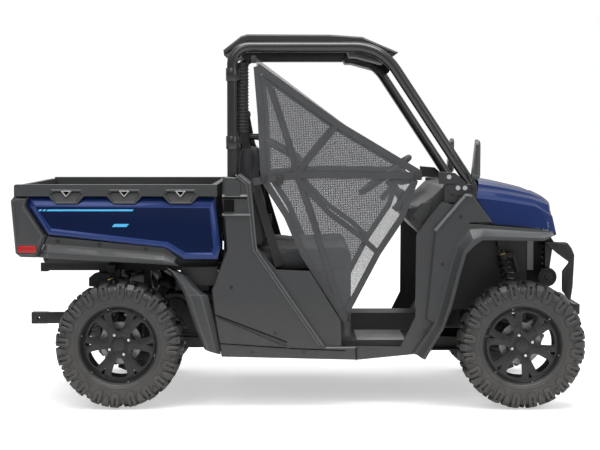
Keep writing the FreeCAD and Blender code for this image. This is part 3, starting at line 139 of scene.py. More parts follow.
class Shape:
    """A mesh in the making."""

    def __init__(self):
        self.bm = bmesh.new()
        self.slot = 0

    def add(self, points, faces, recalc=True):
        verts = [self.bm.verts.new(Vector(p)) for p in points]
        made = [self.bm.faces.new([verts[i] for i in corners]) for corners in faces]
        self.settle(made, recalc)
        return made

    def settle(self, made, recalc=True):
        """Give new faces the current slot and turn them outward."""
        for face in made:
            face.material_index = self.slot
        if recalc:
            bmesh.ops.recalc_face_normals(self.bm, faces=made)

    def join(self, a, b):
        """New faces between two closed loops of as many points."""
        n = len(a)
        return [self.bm.faces.new([a[k], a[(k + 1) % n], b[(k + 1) % n], b[k]]) for k in range(n)]

    def round(self, edges, width, steps, marked=False):
        """Round edges; the new faces of marked ones carry the attribute that the edge wear and painted
        highlight read.
        """
        if width <= 0:
            return
        layers = self.bm.faces.layers.float
        layer = marked and (layers.get("edge") or layers.new("edge"))
        made = bmesh.ops.bevel(self.bm, geom=list(edges), offset=width, offset_type="OFFSET", segments=steps,
                               profile=0.5, affect="EDGES", clamp_overlap=True, material=-1)
        if marked:
            for face in made["faces"]:
                face[layer] = 1.0

    def prism(self, outline, plane, low, high, bevel=0.0, steps=2):
        """An outline in one plane, drawn out along the third axis."""
        first, second, third = {"xz": (0, 2, 1), "yz": (1, 2, 0), "xy": (0, 1, 2)}[plane]
        points = []
        for level in (low, high):
            for a, b in outline:
                point = [0.0, 0.0, 0.0]
                point[first], point[second], point[third] = a, b, level
                points.append(point)
        made = self.add(points, bar_faces(len(outline), 2))
        self.round({e for f in made for e in f.edges}, bevel, steps)

    def box(self, low, high, bevel, steps=2):
        outline = [(low[0], low[1]), (high[0], low[1]), (high[0], high[1]), (low[0], high[1])]
        self.prism(outline, "xy", low[2], high[2], bevel, steps)

    def lathe(self, profile, centre, axis, sides, closed=False):
        """Turn pairs of a distance along the axis and a radius about it."""
        axis = Vector(axis).normalized()
        centre = Vector(centre)
        side = axis.orthogonal().normalized()
        up = axis.cross(side)
        rows = []
        for along, radius in profile:
            if radius < 0.01:
                rows.append([self.bm.verts.new(centre + axis * along)])
                continue
            ring = []
            for i in range(sides):
                a = 2 * math.pi * i / sides
                spot = centre + axis * along + (side * math.cos(a) + up * math.sin(a)) * radius
                ring.append(self.bm.verts.new(spot))
            rows.append(ring)
        made = []
        pairs = list(zip(rows, rows[1:])) + ([(rows[-1], rows[0])] if closed else [])
        for a, b in pairs:
            for i in range(sides):
                j = (i + 1) % sides
                loop = [a[i % len(a)], a[j % len(a)], b[j % len(b)], b[i % len(b)]]
                corners = [v for k, v in enumerate(loop) if v is not loop[k - 1]]
                if len(corners) > 2:
                    made.append(self.bm.faces.new(corners))
        self.settle(made)

    def rod(self, start, end, radius, sides, b):
        """A round bar between two points, its ends broken by a bevel of width b."""
        start, end = Vector(start), Vector(end)
        length = (end - start).length
        profile = [(0, 0), (0, radius - b), (b, radius), (length - b, radius), (length, radius - b),
                   (length, 0)]
        self.lathe(profile, start, end - start, sides)

    def tube(self, path, radius, sides):
        """Sweep a round section along a path."""
        path = [Vector(p) for p in path]
        ways = directions(path)
        side = ways[0].orthogonal().normalized()
        turns = [2 * math.pi * k / sides for k in range(sides)]
        rows = []
        for i, (point, way) in enumerate(zip(path, ways)):
            side = (side - way * side.dot(way)).normalized()
            up = way.cross(side)
            reach = radius[i] if isinstance(radius, (list, tuple)) else radius
            rows.append([self.bm.verts.new(point + (side * math.cos(a) + up * math.sin(a)) * reach)
                         for a in turns])
        made = [self.bm.faces.new(rows[0]), self.bm.faces.new(rows[-1])]
        for a, b in zip(rows, rows[1:]):
            made += self.join(a, b)
        self.settle(made)

    def strap(self, path, width, thick, across=(0, 0, 1), lift=0.0, facing=None):
        """A flat band along a path: its width lies along one direction, or its face looks one way."""
        path = [Vector(p) for p in path]
        ways = directions(path)
        rows = []
        for point, way in zip(path, ways):
            face_way = Vector(facing) if facing else way.cross(Vector(across))
            if face_way.length < 0.05:
                face_way = way.orthogonal()
            face_way.normalize()
            reach = face_way.cross(way).normalized() * (width / 2)
            out = face_way * (thick / 2)
            point = point + face_way * lift
            rows.append([point - reach - out, point + reach - out, point + reach + out, point - reach + out])
        self.add([p for row in rows for p in row], bar_faces(4, len(rows)))

    def mirror(self):
        """Add the mirror image on the other side of the vehicle."""
        copied = bmesh.ops.duplicate(self.bm, geom=self.bm.verts[:] + self.bm.edges[:] + self.bm.faces[:])
        made = copied["geom"]
        for vert in (v for v in made if isinstance(v, bmesh.types.BMVert)):
            vert.co.y = -vert.co.y
        bmesh.ops.reverse_faces(self.bm, faces=[f for f in made if isinstance(f, bmesh.types.BMFace)])
        return self

    def flip(self):
        """Turn the shape over to the vehicle's other side."""
        for vert in self.bm.verts:
            vert.co.y = -vert.co.y
        bmesh.ops.reverse_faces(self.bm, faces=self.bm.faces[:])
        return self

    def move(self, matrix):
        bmesh.ops.transform(self.bm, matrix=matrix, verts=self.bm.verts[:])
        return self

    def mesh(self, name, smooth=32.0):
        """The finished mesh in metres, smooth except over the sharp edges."""
        bmesh.ops.scale(self.bm, vec=(MM, MM, MM), verts=self.bm.verts[:])
        limit = math.radians(smooth)
        for face in self.bm.faces:
            face.smooth = True
        for edge in self.bm.edges:
            edge.smooth = len(edge.link_faces) != 2 or edge.calc_face_angle(0.0) < limit
        mesh = bpy.data.meshes.new(name)
        self.bm.to_mesh(mesh)
        self.bm.free()
        return mesh


def add_object(name, mesh):
    made = bpy.data.objects.new(name, mesh)
    bpy.context.scene.collection.objects.link(made)
    return made


def piece(name, source, body, finishes, replaces=()):
    """Put a shape or mesh into the scene as a piece that rides on a body."""
    mesh = source.mesh(name) if isinstance(source, Shape) else source
    made = add_object(name, mesh)
    if mesh.materials:
        mesh.materials.clear()
    for key in [finishes] if isinstance(finishes, str) else finishes:
        mesh.materials.append(FINISH[key])
    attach(made, body)
    if replaces:
        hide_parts(*replaces)
    return made


def bake_modifiers(thing):
    """Replace the object's mesh by the evaluated one and drop its modifiers."""
    bpy.context.view_layer.update()
    evaluated = thing.evaluated_get(bpy.context.evaluated_depsgraph_get())
    mesh = bpy.data.meshes.new_from_object(evaluated)
    thing.modifiers.clear()
    old = thing.data
    thing.data = mesh
    bpy.data.meshes.remove(old)
    return thing


def plain_copy(node):
    """The node's mesh as merged flat faces, in millimetres."""
    shape = Shape()
    shape.bm.from_mesh(nodes[node].data)
    bmesh.ops.remove_doubles(shape.bm, verts=shape.bm.verts[:], dist=2e-5)
    bmesh.ops.scale(shape.bm, vec=(1 / MM, 1 / MM, 1 / MM), verts=shape.bm.verts[:])
    bmesh.ops.dissolve_limit(shape.bm, angle_limit=math.radians(0.6), verts=shape.bm.verts[:],
                             edges=shape.bm.edges[:])
    for face in shape.bm.faces:
        face.material_index = 0
    return shape


def rounded_copy(node, width, steps, angle):
    """The node's shape with its longer edges rounded."""
    shape = plain_copy(node)
    chosen = []
    for edge in shape.bm.edges:
        if len(edge.link_faces) != 2 or edge.calc_face_angle(0.0) < math.radians(angle):
            continue
        near = [e.calc_length() for v in edge.verts for e in v.link_edges]
        if min(near) >= width * 2.3:
            chosen.append(edge)
    shape.round(chosen, width, steps, marked=True)
    return shape


# Node trees

class Graph:
    """Adds nodes with their values and links to a tree."""

    def __init__(self, tree):
        self.tree = tree

    def node(self, kind, values=None, **settings):
        made = self.tree.nodes.new(kind)
        for name, value in settings.items():
            setattr(made, name, value)
        for key, value in (values or {}).items():
            socket = made.inputs[key]
            if isinstance(value, bpy.types.NodeSocket):
                self.tree.links.new(value, socket)
            else:
                socket.default_value = value
        return made

    def math(self, operation, a, b=0.0, c=0.0):
        return self.node("ShaderNodeMath", {0: a, 1: b, 2: c}, operation=operation).outputs[0]

    def mix(self, factor, a, b):
        made = self.node("ShaderNodeMix", {0: factor}, data_type="RGBA")
        for index, value in ((6, a), (7, b)):
            if isinstance(value, bpy.types.NodeSocket):
                self.tree.links.new(value, made.inputs[index])
            else:
                made.inputs[index].default_value = (*value, 1.0)
        return made.outputs[2]


def new_group(name, kind, inputs, outputs):
    """A node group with named sockets: triples of name, socket type and default."""
    tree = bpy.data.node_groups.new(name, kind)
    for label, socket_type, default in inputs:
        made = tree.interface.new_socket(label, in_out="INPUT", socket_type=socket_type)
        if default is not None:
            made.default_value = default
    for label, socket_type in outputs:
        tree.interface.new_socket(label, in_out="OUTPUT", socket_type=socket_type)
    graph = Graph(tree)
    entry = graph.node("NodeGroupInput")
    leave = graph.node("NodeGroupOutput")
    return tree, graph, entry, leave


FLOAT = "NodeSocketFloat"
INT = "NodeSocketInt"
VECTOR = "NodeSocketVector"
SHAPE = "NodeSocketGeometry"
MATERIAL = "NodeSocketMaterial"


def grain_group():
    """Fine moulded or cast grain, with slow changes of shade over the piece."""
    tree, g, entry, leave = new_group("moulded grain", "ShaderNodeTree",
                                      [("Scale", FLOAT, 900.0), ("Coarse", FLOAT, 6.0)],
                                      [("Height", FLOAT), ("Shade", FLOAT), ("Fleck", FLOAT)])
    place = g.node("ShaderNodeTexCoord").outputs["Object"]
    cells = g.node("ShaderNodeTexVoronoi", {"Vector": place, "Scale": entry.outputs["Scale"]})
    fine = g.node("ShaderNodeTexNoise", {"Vector": place, "Scale": entry.outputs["Scale"], "Detail": 2.0})
    slow = g.node("ShaderNodeTexNoise", {"Vector": place, "Scale": entry.outputs["Coarse"], "Detail": 3.0})
    height = g.math("ADD", g.math("MULTIPLY", cells.outputs["Distance"], 0.6),
                    g.math("MULTIPLY", fine.outputs[0], 0.4))
    tree.links.new(height, leave.inputs["Height"])
    tree.links.new(slow.outputs[0], leave.inputs["Shade"])
    tree.links.new(fine.outputs[0], leave.inputs["Fleck"])
    return tree


def wear_group():
    """Mask of the rounded edges that are lightened, partly for wear and partly as a painted highlight, broken
    up by noise.
    """
    tree, g, entry, leave = new_group("edge wear", "ShaderNodeTree",
                                      [("Amount", FLOAT, 0.5), ("Scale", FLOAT, 60.0)], [("Mask", FLOAT)])
    edge = g.node("ShaderNodeAttribute", attribute_name="edge").outputs["Fac"]
    place = g.node("ShaderNodeTexCoord").outputs["Object"]
    spots = g.node("ShaderNodeTexNoise", {"Vector": place, "Scale": entry.outputs["Scale"], "Detail": 4.0})
    broken = g.math("ADD", 0.55, g.math("MULTIPLY", spots.outputs[0], 0.9))
    mask = g.math("MULTIPLY", g.math("MULTIPLY", edge, broken), entry.outputs["Amount"])
    tree.links.new(g.math("MINIMUM", mask, 1.0), leave.inputs["Mask"])
    return tree


def dust_group():
    """Dust that gathers towards the ground, in patches."""
    tree, g, entry, leave = new_group("dust", "ShaderNodeTree",
                                      [("Height", FLOAT, 0.5), ("Amount", FLOAT, 0.2)], [("Mask", FLOAT)])
    place = g.node("ShaderNodeTexCoord").outputs["Object"]
    low = g.node("ShaderNodeSeparateXYZ", {0: place}).outputs["Z"]
    fall = g.node("ShaderNodeMapRange", {"Value": low, "From Min": entry.outputs["Height"], "From Max": 0.0})
    patches = g.node("ShaderNodeTexNoise", {"Vector": place, "Scale": 14.0, "Detail": 5.0}).outputs[0]
    mask = g.math("MULTIPLY", g.math("MULTIPLY", fall.outputs[0], patches), entry.outputs["Amount"])
    tree.links.new(g.math("MULTIPLY", mask, 2.0), leave.inputs["Mask"])
    return tree


def weave_group():
    """Plain weave on the X-Z plane: thread height, and a mask of the open holes."""
    tree, g, entry, leave = new_group("plain weave", "ShaderNodeTree",
                                      [("Pitch", FLOAT, 0.003), ("Open", FLOAT, 0.5), ("Slant", FLOAT, 0.0)],
                                      [("Height", FLOAT), ("Thread", FLOAT)])
    place = g.node("ShaderNodeTexCoord").outputs["Object"]
    turned = g.node("ShaderNodeVectorRotate", {"Vector": place, "Angle": entry.outputs["Slant"]},
                    rotation_type="Y_AXIS").outputs[0]
    parts = g.node("ShaderNodeSeparateXYZ", {0: turned})
    turns = g.math("DIVIDE", 2 * math.pi, entry.outputs["Pitch"])
    warp = g.math("SINE", g.math("MULTIPLY", parts.outputs["X"], turns))
    weft = g.math("SINE", g.math("MULTIPLY", parts.outputs["Z"], turns))
    crossed = g.math("MAXIMUM", warp, weft)
    limit = g.math("SUBTRACT", 1.0, g.math("MULTIPLY", entry.outputs["Open"], 2.0))
    thread = g.math("GREATER_THAN", crossed, g.math("MULTIPLY", limit, -1.0))
    tree.links.new(crossed, leave.inputs["Height"])
    tree.links.new(thread, leave.inputs["Thread"])
    return tree


GROUPS = {}


def finish(name, colour, rough, slot_values=None, grain=(900.0, 0.0002, 0.25), variation=0.12, wear=0.0,
           worn_and_highlight_colour=(0.2, 0.2, 0.2), dust=0.0, dust_height=0.6, weave=None, rough_variation=0.08):
    """A material on the Principled shader: grain in its bump, wear and a painted highlight on its edges, and
    dust below.
    """
    material = bpy.data.materials.new(name)
    material.use_nodes = True
    tree = material.node_tree
    tree.nodes.clear()
    g = Graph(tree)
    shader = g.node("ShaderNodeBsdfPrincipled", slot_values or {})
    g.node("ShaderNodeOutputMaterial", {"Surface": shader.outputs[0]})
    scale, depth, strength = grain
    grains = g.node("ShaderNodeGroup", node_tree=GROUPS["grain"])
    grains.inputs["Scale"].default_value = scale
    shade = g.math("MULTIPLY_ADD", grains.outputs["Shade"], 2.0 * variation, 1.0 - variation)
    toned = g.node("ShaderNodeVectorMath", {0: colour, 1: shade}, operation="MULTIPLY").outputs[0]
    # Rounded edges mixed towards a lighter colour: partly wear, partly a painted highlight.
    if wear:
        edges = g.node("ShaderNodeGroup", node_tree=GROUPS["wear"])
        edges.inputs["Amount"].default_value = wear
        toned = g.mix(edges.outputs["Mask"], toned, worn_and_highlight_colour)
    if dust:
        dirt = g.node("ShaderNodeGroup", node_tree=GROUPS["dust"])
        dirt.inputs["Amount"].default_value = dust
        dirt.inputs["Height"].default_value = dust_height
        toned = g.mix(dirt.outputs["Mask"], toned, (0.22, 0.2, 0.17))
    height = grains.outputs["Height"]
    if weave:
        pitch, open_share, slant = weave
        threads = g.node("ShaderNodeGroup", node_tree=GROUPS["weave"])
        threads.inputs["Pitch"].default_value = pitch
        threads.inputs["Open"].default_value = open_share
        threads.inputs["Slant"].default_value = slant
        height = threads.outputs["Height"]
        if open_share:
            tree.links.new(threads.outputs["Thread"], shader.inputs["Alpha"])
    tree.links.new(toned, shader.inputs["Base Color"])
    roughness = g.math("MULTIPLY_ADD", grains.outputs["Fleck"], 2 * rough_variation, rough - rough_variation)
    tree.links.new(roughness, shader.inputs["Roughness"])
    bump = g.node("ShaderNodeBump", {"Strength": strength, "Distance": depth, "Height": height})
    tree.links.new(bump.outputs[0], shader.inputs["Normal"])
    return material


FINISH = {}


def make_finishes(colours):
    """Every finish of the vehicle."""
    GROUPS.update(grain=grain_group(), wear=wear_group(), dust=dust_group(), weave=weave_group())
    metal = {"Metallic": 1.0}
    panel = tuple(colours.panel)
    dark = tuple(colours.dark)
    f = FINISH
    # Each lighter edge colour below stands partly for wear and partly for a painted highlight.
    f["panel"] = finish("charcoal plastic", panel, 0.43, {"Specular IOR Level": 0.5}, (1400.0, 0.0003, 0.25),
                        0.1, 0.75, tuple(v * 2.6 for v in panel), 0.12)
    f["trim"] = finish("black plastic", dark, 0.44, {"Specular IOR Level": 0.4}, (1500.0, 0.0003, 0.25), 0.15,
                       0.5, tuple(v * 2.4 for v in dark), 0.1)
    f["paint"] = finish("navy paint", tuple(colours.paint), 0.3,
                        {"Metallic": 0.5, "Coat Weight": 0.4, "Coat Roughness": 0.1,
                         "Specular IOR Level": 0.3},
                        (5200.0, 0.00003, 0.1), 0.1, 0.5,
                        tuple(min(1.0, v * 1.9 + 0.012) for v in colours.paint), rough_variation=0.05)
    # A darker copy of the navy paint for the bed's sunk fields: painted shade.
    f["shaded paint"] = finish("navy paint with painted shade", tuple(v * 0.34 for v in colours.paint), 0.35,
                             {"Metallic": 0.3, "Coat Weight": 0.15, "Coat Roughness": 0.1,
                              "Specular IOR Level": 0.1}, (5200.0, 0.00003, 0.1), 0.15)
    f["stripe"] = finish("light blue stripe", tuple(colours.stripe), 0.3, {"Coat Weight": 0.6},
                         (3000.0, 0.00002, 0.1))
    f["frame"] = finish("black powder coat", (0.014, 0.014, 0.015), 0.42, {"Specular IOR Level": 0.3},
                        (2600.0, 0.0002, 0.35), 0.2, 0.4, (0.09, 0.09, 0.09), 0.2)
    f["cage"] = finish("satin black tube", (0.011, 0.011, 0.012), 0.22, {"Specular IOR Level": 0.6},
                       (2600.0, 0.0001, 0.12), 0.1)
    f["rubber"] = finish("tyre rubber", tuple(colours.rubber), 0.52, {"Specular IOR Level": 0.55},
                         (700.0, 0.0004, 0.3), 0.25, dust=0.16, dust_height=0.7)
    f["rim"] = finish("satin black rim", (0.016, 0.016, 0.017), 0.34, {"Specular IOR Level": 0.4},
                      (2000.0, 0.0001, 0.15), 0.1, 0.6, (0.16, 0.16, 0.17))
    f["bright"] = finish("bright machined metal", (0.62, 0.62, 0.63), 0.28, metal, (1800.0, 0.0001, 0.2), 0.1)
    f["steel"] = finish("dull steel", (0.3, 0.3, 0.3), 0.42, metal, (900.0, 0.0003, 0.4), 0.3, dust=0.2)
    f["cast"] = finish("dark cast metal", (0.11, 0.11, 0.115), 0.55, {"Metallic": 0.8}, (420.0, 0.0008, 0.5),
                       0.25, dust=0.25)
    f["iron"] = finish("black cast iron", (0.03, 0.03, 0.031), 0.6, {"Metallic": 0.3}, (420.0, 0.0008, 0.5),
                       0.25, dust=0.3)
    f["spring"] = finish("spring steel, painted black", (0.015, 0.015, 0.015), 0.3, {"Coat Weight": 0.3},
                         (1500.0, 0.0001, 0.2))
    f["brass"] = finish("yellowish plating", (0.5, 0.38, 0.12), 0.35, metal, (1500.0, 0.0001, 0.2), 0.2)
    f["vinyl"] = finish("seat vinyl", tuple(colours.vinyl), 0.52, {"Specular IOR Level": 0.3},
                        (520.0, 0.0007, 0.45), 0.14, dust=0.05)
    f["net"] = finish("open mesh", tuple(colours.webbing), 0.85, {"Specular IOR Level": 0.2},
                      (1500.0, 0.0002, 0.2), 0.12, weave=(0.0019, 0.6, 0.06))
    f["webbing"] = finish("grey webbing", tuple(v * 0.46 for v in colours.webbing), 0.85,
                          {"Sheen Weight": 0.05}, (160.0, 0.0002, 0.2), 0.3, weave=(0.0016, 0.0, 0.7))
    f["belt"] = finish("black belt webbing", (0.013, 0.013, 0.014), 0.75, {"Sheen Weight": 0.05},
                       (1500.0, 0.0002, 0.2), 0.15, weave=(0.0016, 0.0, 0.7))
    # Black felt for the roof's lining, also used as painted shade in the panels' grooves and the hooks'
    # openings.
    f["lining"] = finish("black lining felt and painted shade", (0.006, 0.006, 0.006), 0.9, {"Specular IOR Level": 0.05},
                         (1800.0, 0.0003, 0.3), 0.2)
    f["grey"] = finish("light grey plastic", (0.2, 0.2, 0.205), 0.5, {}, (1300.0, 0.0003, 0.25), 0.08)
    # A lighter plastic for the side panels' lips: a painted highlight.
    f["bevel"] = finish("light plastic lip, painted highlight", (0.085, 0.087, 0.09), 0.45, {}, (1300.0, 0.0003, 0.25), 0.08)
    f["stitch"] = finish("grey thread", (0.1, 0.1, 0.1), 0.7, {}, (3000.0, 0.0001, 0.2))
    f["red"] = finish("red lens", tuple(colours.lamp), 0.2,
                      {"Coat Weight": 0.3, "Coat Roughness": 0.05, "Specular IOR Level": 0.2},
                      (260.0, 0.001, 0.4), 0.2)
    f["reflector"] = finish("lamp reflector", (0.75, 0.76, 0.78), 0.12, metal, (220.0, 0.0008, 0.3), 0.1)
    f["lens"] = finish("clear lens", (0.9, 0.93, 0.95), 0.05, {"Transmission Weight": 0.9, "IOR": 1.45},
                       (240.0, 0.0003, 0.15), 0.02)
    f["glass"] = finish("mirror glass", (0.7, 0.72, 0.74), 0.04, metal, (200.0, 0.00002, 0.05), 0.02)


# Geometry Nodes that repeat a shape

def shape_group(name, inputs):
    """A tree that takes a shape first and its finish last."""
    inputs = [("Geometry", SHAPE, None), *inputs, ("Finish", MATERIAL, None)]
    return new_group(name, "GeometryNodeTree", inputs, [("Geometry", SHAPE)])


def dressed(tree, g, entry, leave, source):
    """End a tree with what comes out of the source, its finish on it."""
    made = g.node("GeometryNodeSetMaterial", {"Geometry": source.outputs[0],
                                              "Material": entry.outputs["Finish"]})
    tree.links.new(made.outputs[0], leave.inputs[0])
    return tree


def ring_tree():
    """Repeats the shape about the wheel's axle and merges the seams."""
    tree, g, entry, leave = shape_group("repeat round an axle", [("Count", INT, 6), ("Start", FLOAT, 0.0),
                                                                 ("Merge", FLOAT, 0.00005)])
    points = g.node("GeometryNodePoints", {"Count": entry.outputs["Count"]})
    index = g.node("GeometryNodeInputIndex").outputs[0]
    step = g.math("DIVIDE", 2 * math.pi, entry.outputs["Count"])
    angle = g.math("MULTIPLY_ADD", index, step, entry.outputs["Start"])
    turn = g.node("ShaderNodeCombineXYZ", {"Y": angle}).outputs[0]
    copies = g.node("GeometryNodeInstanceOnPoints",
                    {"Points": points.outputs[0], "Instance": entry.outputs[0],
                                                     "Rotation": turn})
    real = g.node("GeometryNodeRealizeInstances", {0: copies.outputs[0]})
    merged = g.node("GeometryNodeMergeByDistance",
                    {"Geometry": real.outputs[0], "Distance": entry.outputs["Merge"]})
    return dressed(tree, g, entry, leave, merged)


def row_tree():
    """Repeats the shape along a straight line."""
    tree, g, entry, leave = shape_group("repeat in a row",
                                        [("Count", INT, 5), ("Offset", VECTOR, (0.0, 0.0, 0.03))])
    line = g.node("GeometryNodeMeshLine", {"Count": entry.outputs["Count"],
                                           "Offset": entry.outputs["Offset"]})
    copies = g.node("GeometryNodeInstanceOnPoints", {"Points": line.outputs[0], "Instance": entry.outputs[0]})
    real = g.node("GeometryNodeRealizeInstances", {0: copies.outputs[0]})
    return dressed(tree, g, entry, leave, real)


def bolt_tree():
    """Stands a bolt head on each point, facing along the point's own direction."""
    tree, g, entry, leave = shape_group("bolt heads", [("Radius", FLOAT, 0.007), ("Head", FLOAT, 0.005),
                                                       ("Sides", INT, 6)])
    facing = g.node("GeometryNodeInputNamedAttribute", {"Name": "facing"}, data_type="FLOAT_VECTOR")
    turn = g.node("FunctionNodeAlignRotationToVector", {"Vector": facing.outputs[0]}, axis="Z").outputs[0]
    points = g.node("GeometryNodeMeshToPoints", {0: entry.outputs[0]})
    head = g.node("GeometryNodeMeshCylinder", {"Vertices": entry.outputs["Sides"],
                                               "Radius": entry.outputs["Radius"],
                                               "Depth": entry.outputs["Head"]})
    wide = g.math("MULTIPLY", entry.outputs["Radius"], 1.45)
    thin = g.math("MULTIPLY", entry.outputs["Head"], 0.4)
    washer = g.node("GeometryNodeMeshCylinder", {"Vertices": 16, "Radius": wide, "Depth": thin})
    both = g.node("GeometryNodeJoinGeometry")
    tree.links.new(head.outputs[0], both.inputs[0])
    tree.links.new(washer.outputs[0], both.inputs[0])
    copies = g.node("GeometryNodeInstanceOnPoints", {"Points": points.outputs[0], "Instance": both.outputs[0],
                                                     "Rotation": turn})
    real = g.node("GeometryNodeRealizeInstances", {0: copies.outputs[0]})
    return dressed(tree, g, entry, leave, real)


def coil_tree():
    """A coil spring that stands on the origin along Z."""
    tree, g, entry, leave = shape_group("coil spring", [("Turns", FLOAT, 7.0), ("Radius", FLOAT, 0.04),
                                                        ("Wire", FLOAT, 0.006), ("Height", FLOAT, 0.2)])
    radius = entry.outputs["Radius"]
    coil = g.node("GeometryNodeCurveSpiral", {"Resolution": 24, "Rotations": entry.outputs["Turns"],
                                              "Start Radius": radius, "End Radius": radius,
                                              "Height": entry.outputs["Height"]})
    section = g.node("GeometryNodeCurvePrimitiveCircle", {"Resolution": 8, "Radius": entry.outputs["Wire"]})
    wire = g.node("GeometryNodeCurveToMesh", {"Curve": coil.outputs[0], "Profile Curve": section.outputs[0],
                                              "Fill Caps": True})
    return dressed(tree, g, entry, leave, wire)


TREES = {}


def run_tree(mesh, tree_name, name, **values):
    """Run a tree on a mesh and return the plain mesh that it makes."""
    if tree_name not in TREES:
        TREES[tree_name] = {"ring": ring_tree, "row": row_tree, "bolts": bolt_tree,
                            "coil": coil_tree}[tree_name]()
    tree = TREES[tree_name]
    carrier = add_object(name, mesh)
    mod = carrier.modifiers.new("nodes", "NODES")
    mod.node_group = tree
    known = {item.name: item.identifier for item in tree.interface.items_tree if item.in_out == "INPUT"}
    for key, value in values.items():
        mod[known[key]] = FINISH[value] if key == "Finish" else value
    bake_modifiers(carrier)
    made = carrier.data
    bpy.data.objects.remove(carrier)
    for polygon in made.polygons:
        polygon.use_smooth = True
    return made


def absorb(shape, mesh, slot=0, matrix=None):
    """Add a mesh in metres to a shape in millimetres."""
    old_verts = set(shape.bm.verts)
    old_faces = set(shape.bm.faces)
    shape.bm.from_mesh(mesh)
    fresh = [v for v in shape.bm.verts if v not in old_verts]
    bmesh.ops.scale(shape.bm, vec=(1 / MM, 1 / MM, 1 / MM), verts=fresh)
    if matrix is not None:
        bmesh.ops.transform(shape.bm, matrix=matrix, verts=fresh)
    for face in shape.bm.faces:
        if face not in old_faces:
            face.material_index = slot
    bpy.data.meshes.remove(mesh)
    return shape


def bolts(name, body, spots, finish_key, radius, head, sides):
    """Bolt heads at points in millimetres, each with the way it faces, as one piece."""
    mesh = bpy.data.meshes.new(name)
    mesh.from_pydata([Vector(p) * MM for p, way in spots], [], [])
    facing = mesh.attributes.new("facing", "FLOAT_VECTOR", "POINT")
    for i, (p, way) in enumerate(spots):
        facing.data[i].vector = way
    made = run_tree(mesh, "bolts", name, Radius=radius * MM, Head=head * MM, Sides=sides, Finish=finish_key)
    for polygon in made.polygons:
        polygon.use_smooth = False
    return piece(name, made, body, finish_key)


def both_sides(spots):
    """The same points on the other side of the vehicle too."""
    return spots + [((p[0], -p[1], p[2]), (w[0], -w[1], w[2])) for p, w in spots]


# What a user may change

def colour_property(name, description, default):
    """A colour that a user may change."""
    return FloatVectorProperty(name=name, description=description, default=default, subtype="COLOR", size=3,
                               min=0.0, max=1.0)


class VehicleColours(bpy.types.PropertyGroup):
    """Colours of the vehicle's finishes."""
    panel: colour_property("Panels", "Moulded body panels", (0.024, 0.025, 0.0265))
    dark: colour_property("Dark trim", "Black plastics", (0.02, 0.0205, 0.022))
    paint: colour_property("Paint", "Painted hood and bed", (0.003, 0.019, 0.108))
    stripe: colour_property("Stripe", "Plain stripe on the bed", (0.045, 0.38, 0.7))
    rubber: colour_property("Tyres", "Rubber of the tyres", (0.019, 0.019, 0.02))
    vinyl: colour_property("Seats", "Cover of the seats", (0.03, 0.031, 0.034))
    webbing: colour_property("Nets", "Side nets and their straps", (0.085, 0.087, 0.092))
    lamp: colour_property("Tail lamps", "Lens of the tail lamps", (0.36, 0.012, 0.012))


class WheelSizes(bpy.types.PropertyGroup):
    """Sizes of the tyres and rims."""
    tread_depth: FloatProperty(name="Tread depth", description="Height of the lugs above the carcass",
                               default=0.018, min=0.004, max=0.03, unit="LENGTH")
    pitches: IntProperty(name="Tread pitches", description="Times that the tread pattern repeats", default=10,
                         min=6, max=16)
    spokes: IntProperty(name="Spokes", description="Spokes of a rim", default=6, min=3, max=10)
    nuts: IntProperty(name="Wheel nuts", description="Nuts round the hub", default=4, min=3, max=6)


class CabinSizes(bpy.types.PropertyGroup):
    """Sizes of the soft goods in the cab."""
    crown: FloatProperty(name="Cushion crown", description="How far a cushion may swell", default=0.026,
                         min=0.005, max=0.04, unit="LENGTH")
    stitch: FloatProperty(name="Stitch", description="Length of one stitch", default=0.012, min=0.004,
                          max=0.03, unit="LENGTH")


class StudioSettings(bpy.types.PropertyGroup):
    """The camera and the light."""
    distance: FloatProperty(name="Distance", description="Camera to the vehicle's middle", default=9.4,
                            min=2.0, max=40.0, unit="LENGTH")
    height: FloatProperty(name="Height", description="Camera above the floor", default=1.458, min=0.0,
                          max=10.0, unit="LENGTH")
    tilt: FloatProperty(name="Tilt", description="Camera below the horizon", default=math.radians(3.24),
                        subtype="ANGLE")
    lens: FloatProperty(name="Lens", description="Focal length in millimetres", default=99.8, min=10.0,
                        max=300.0)
    mirrored: FloatProperty(name="Mirrored surround",
                            description="Share of the white surround that gloss shows", default=0.16, min=0.0,
                            max=1.0)
    ambient: FloatProperty(name="Ambient", description="Strength of the light from all round", default=0.5,
                           min=0.0, max=3.0)


# Wheels

def smooth_line(points):
    """A smooth line through points in a plane."""
    line, steps = [], 4
    ends = [points[0]] + list(points) + [points[-1]]
    for a, b, c, d in zip(ends, ends[1:], ends[2:], ends[3:]):
        for i in range(steps):
            t = i / steps
            line.append(tuple(0.5 * (2 * q + (r - p) * t + (2 * p - 5 * q + 4 * r - s) * t * t
                                     + (3 * q - p - 3 * r + s) * t ** 3) for p, q, r, s in zip(a, b, c, d)))
    return line + [tuple(points[-1])]


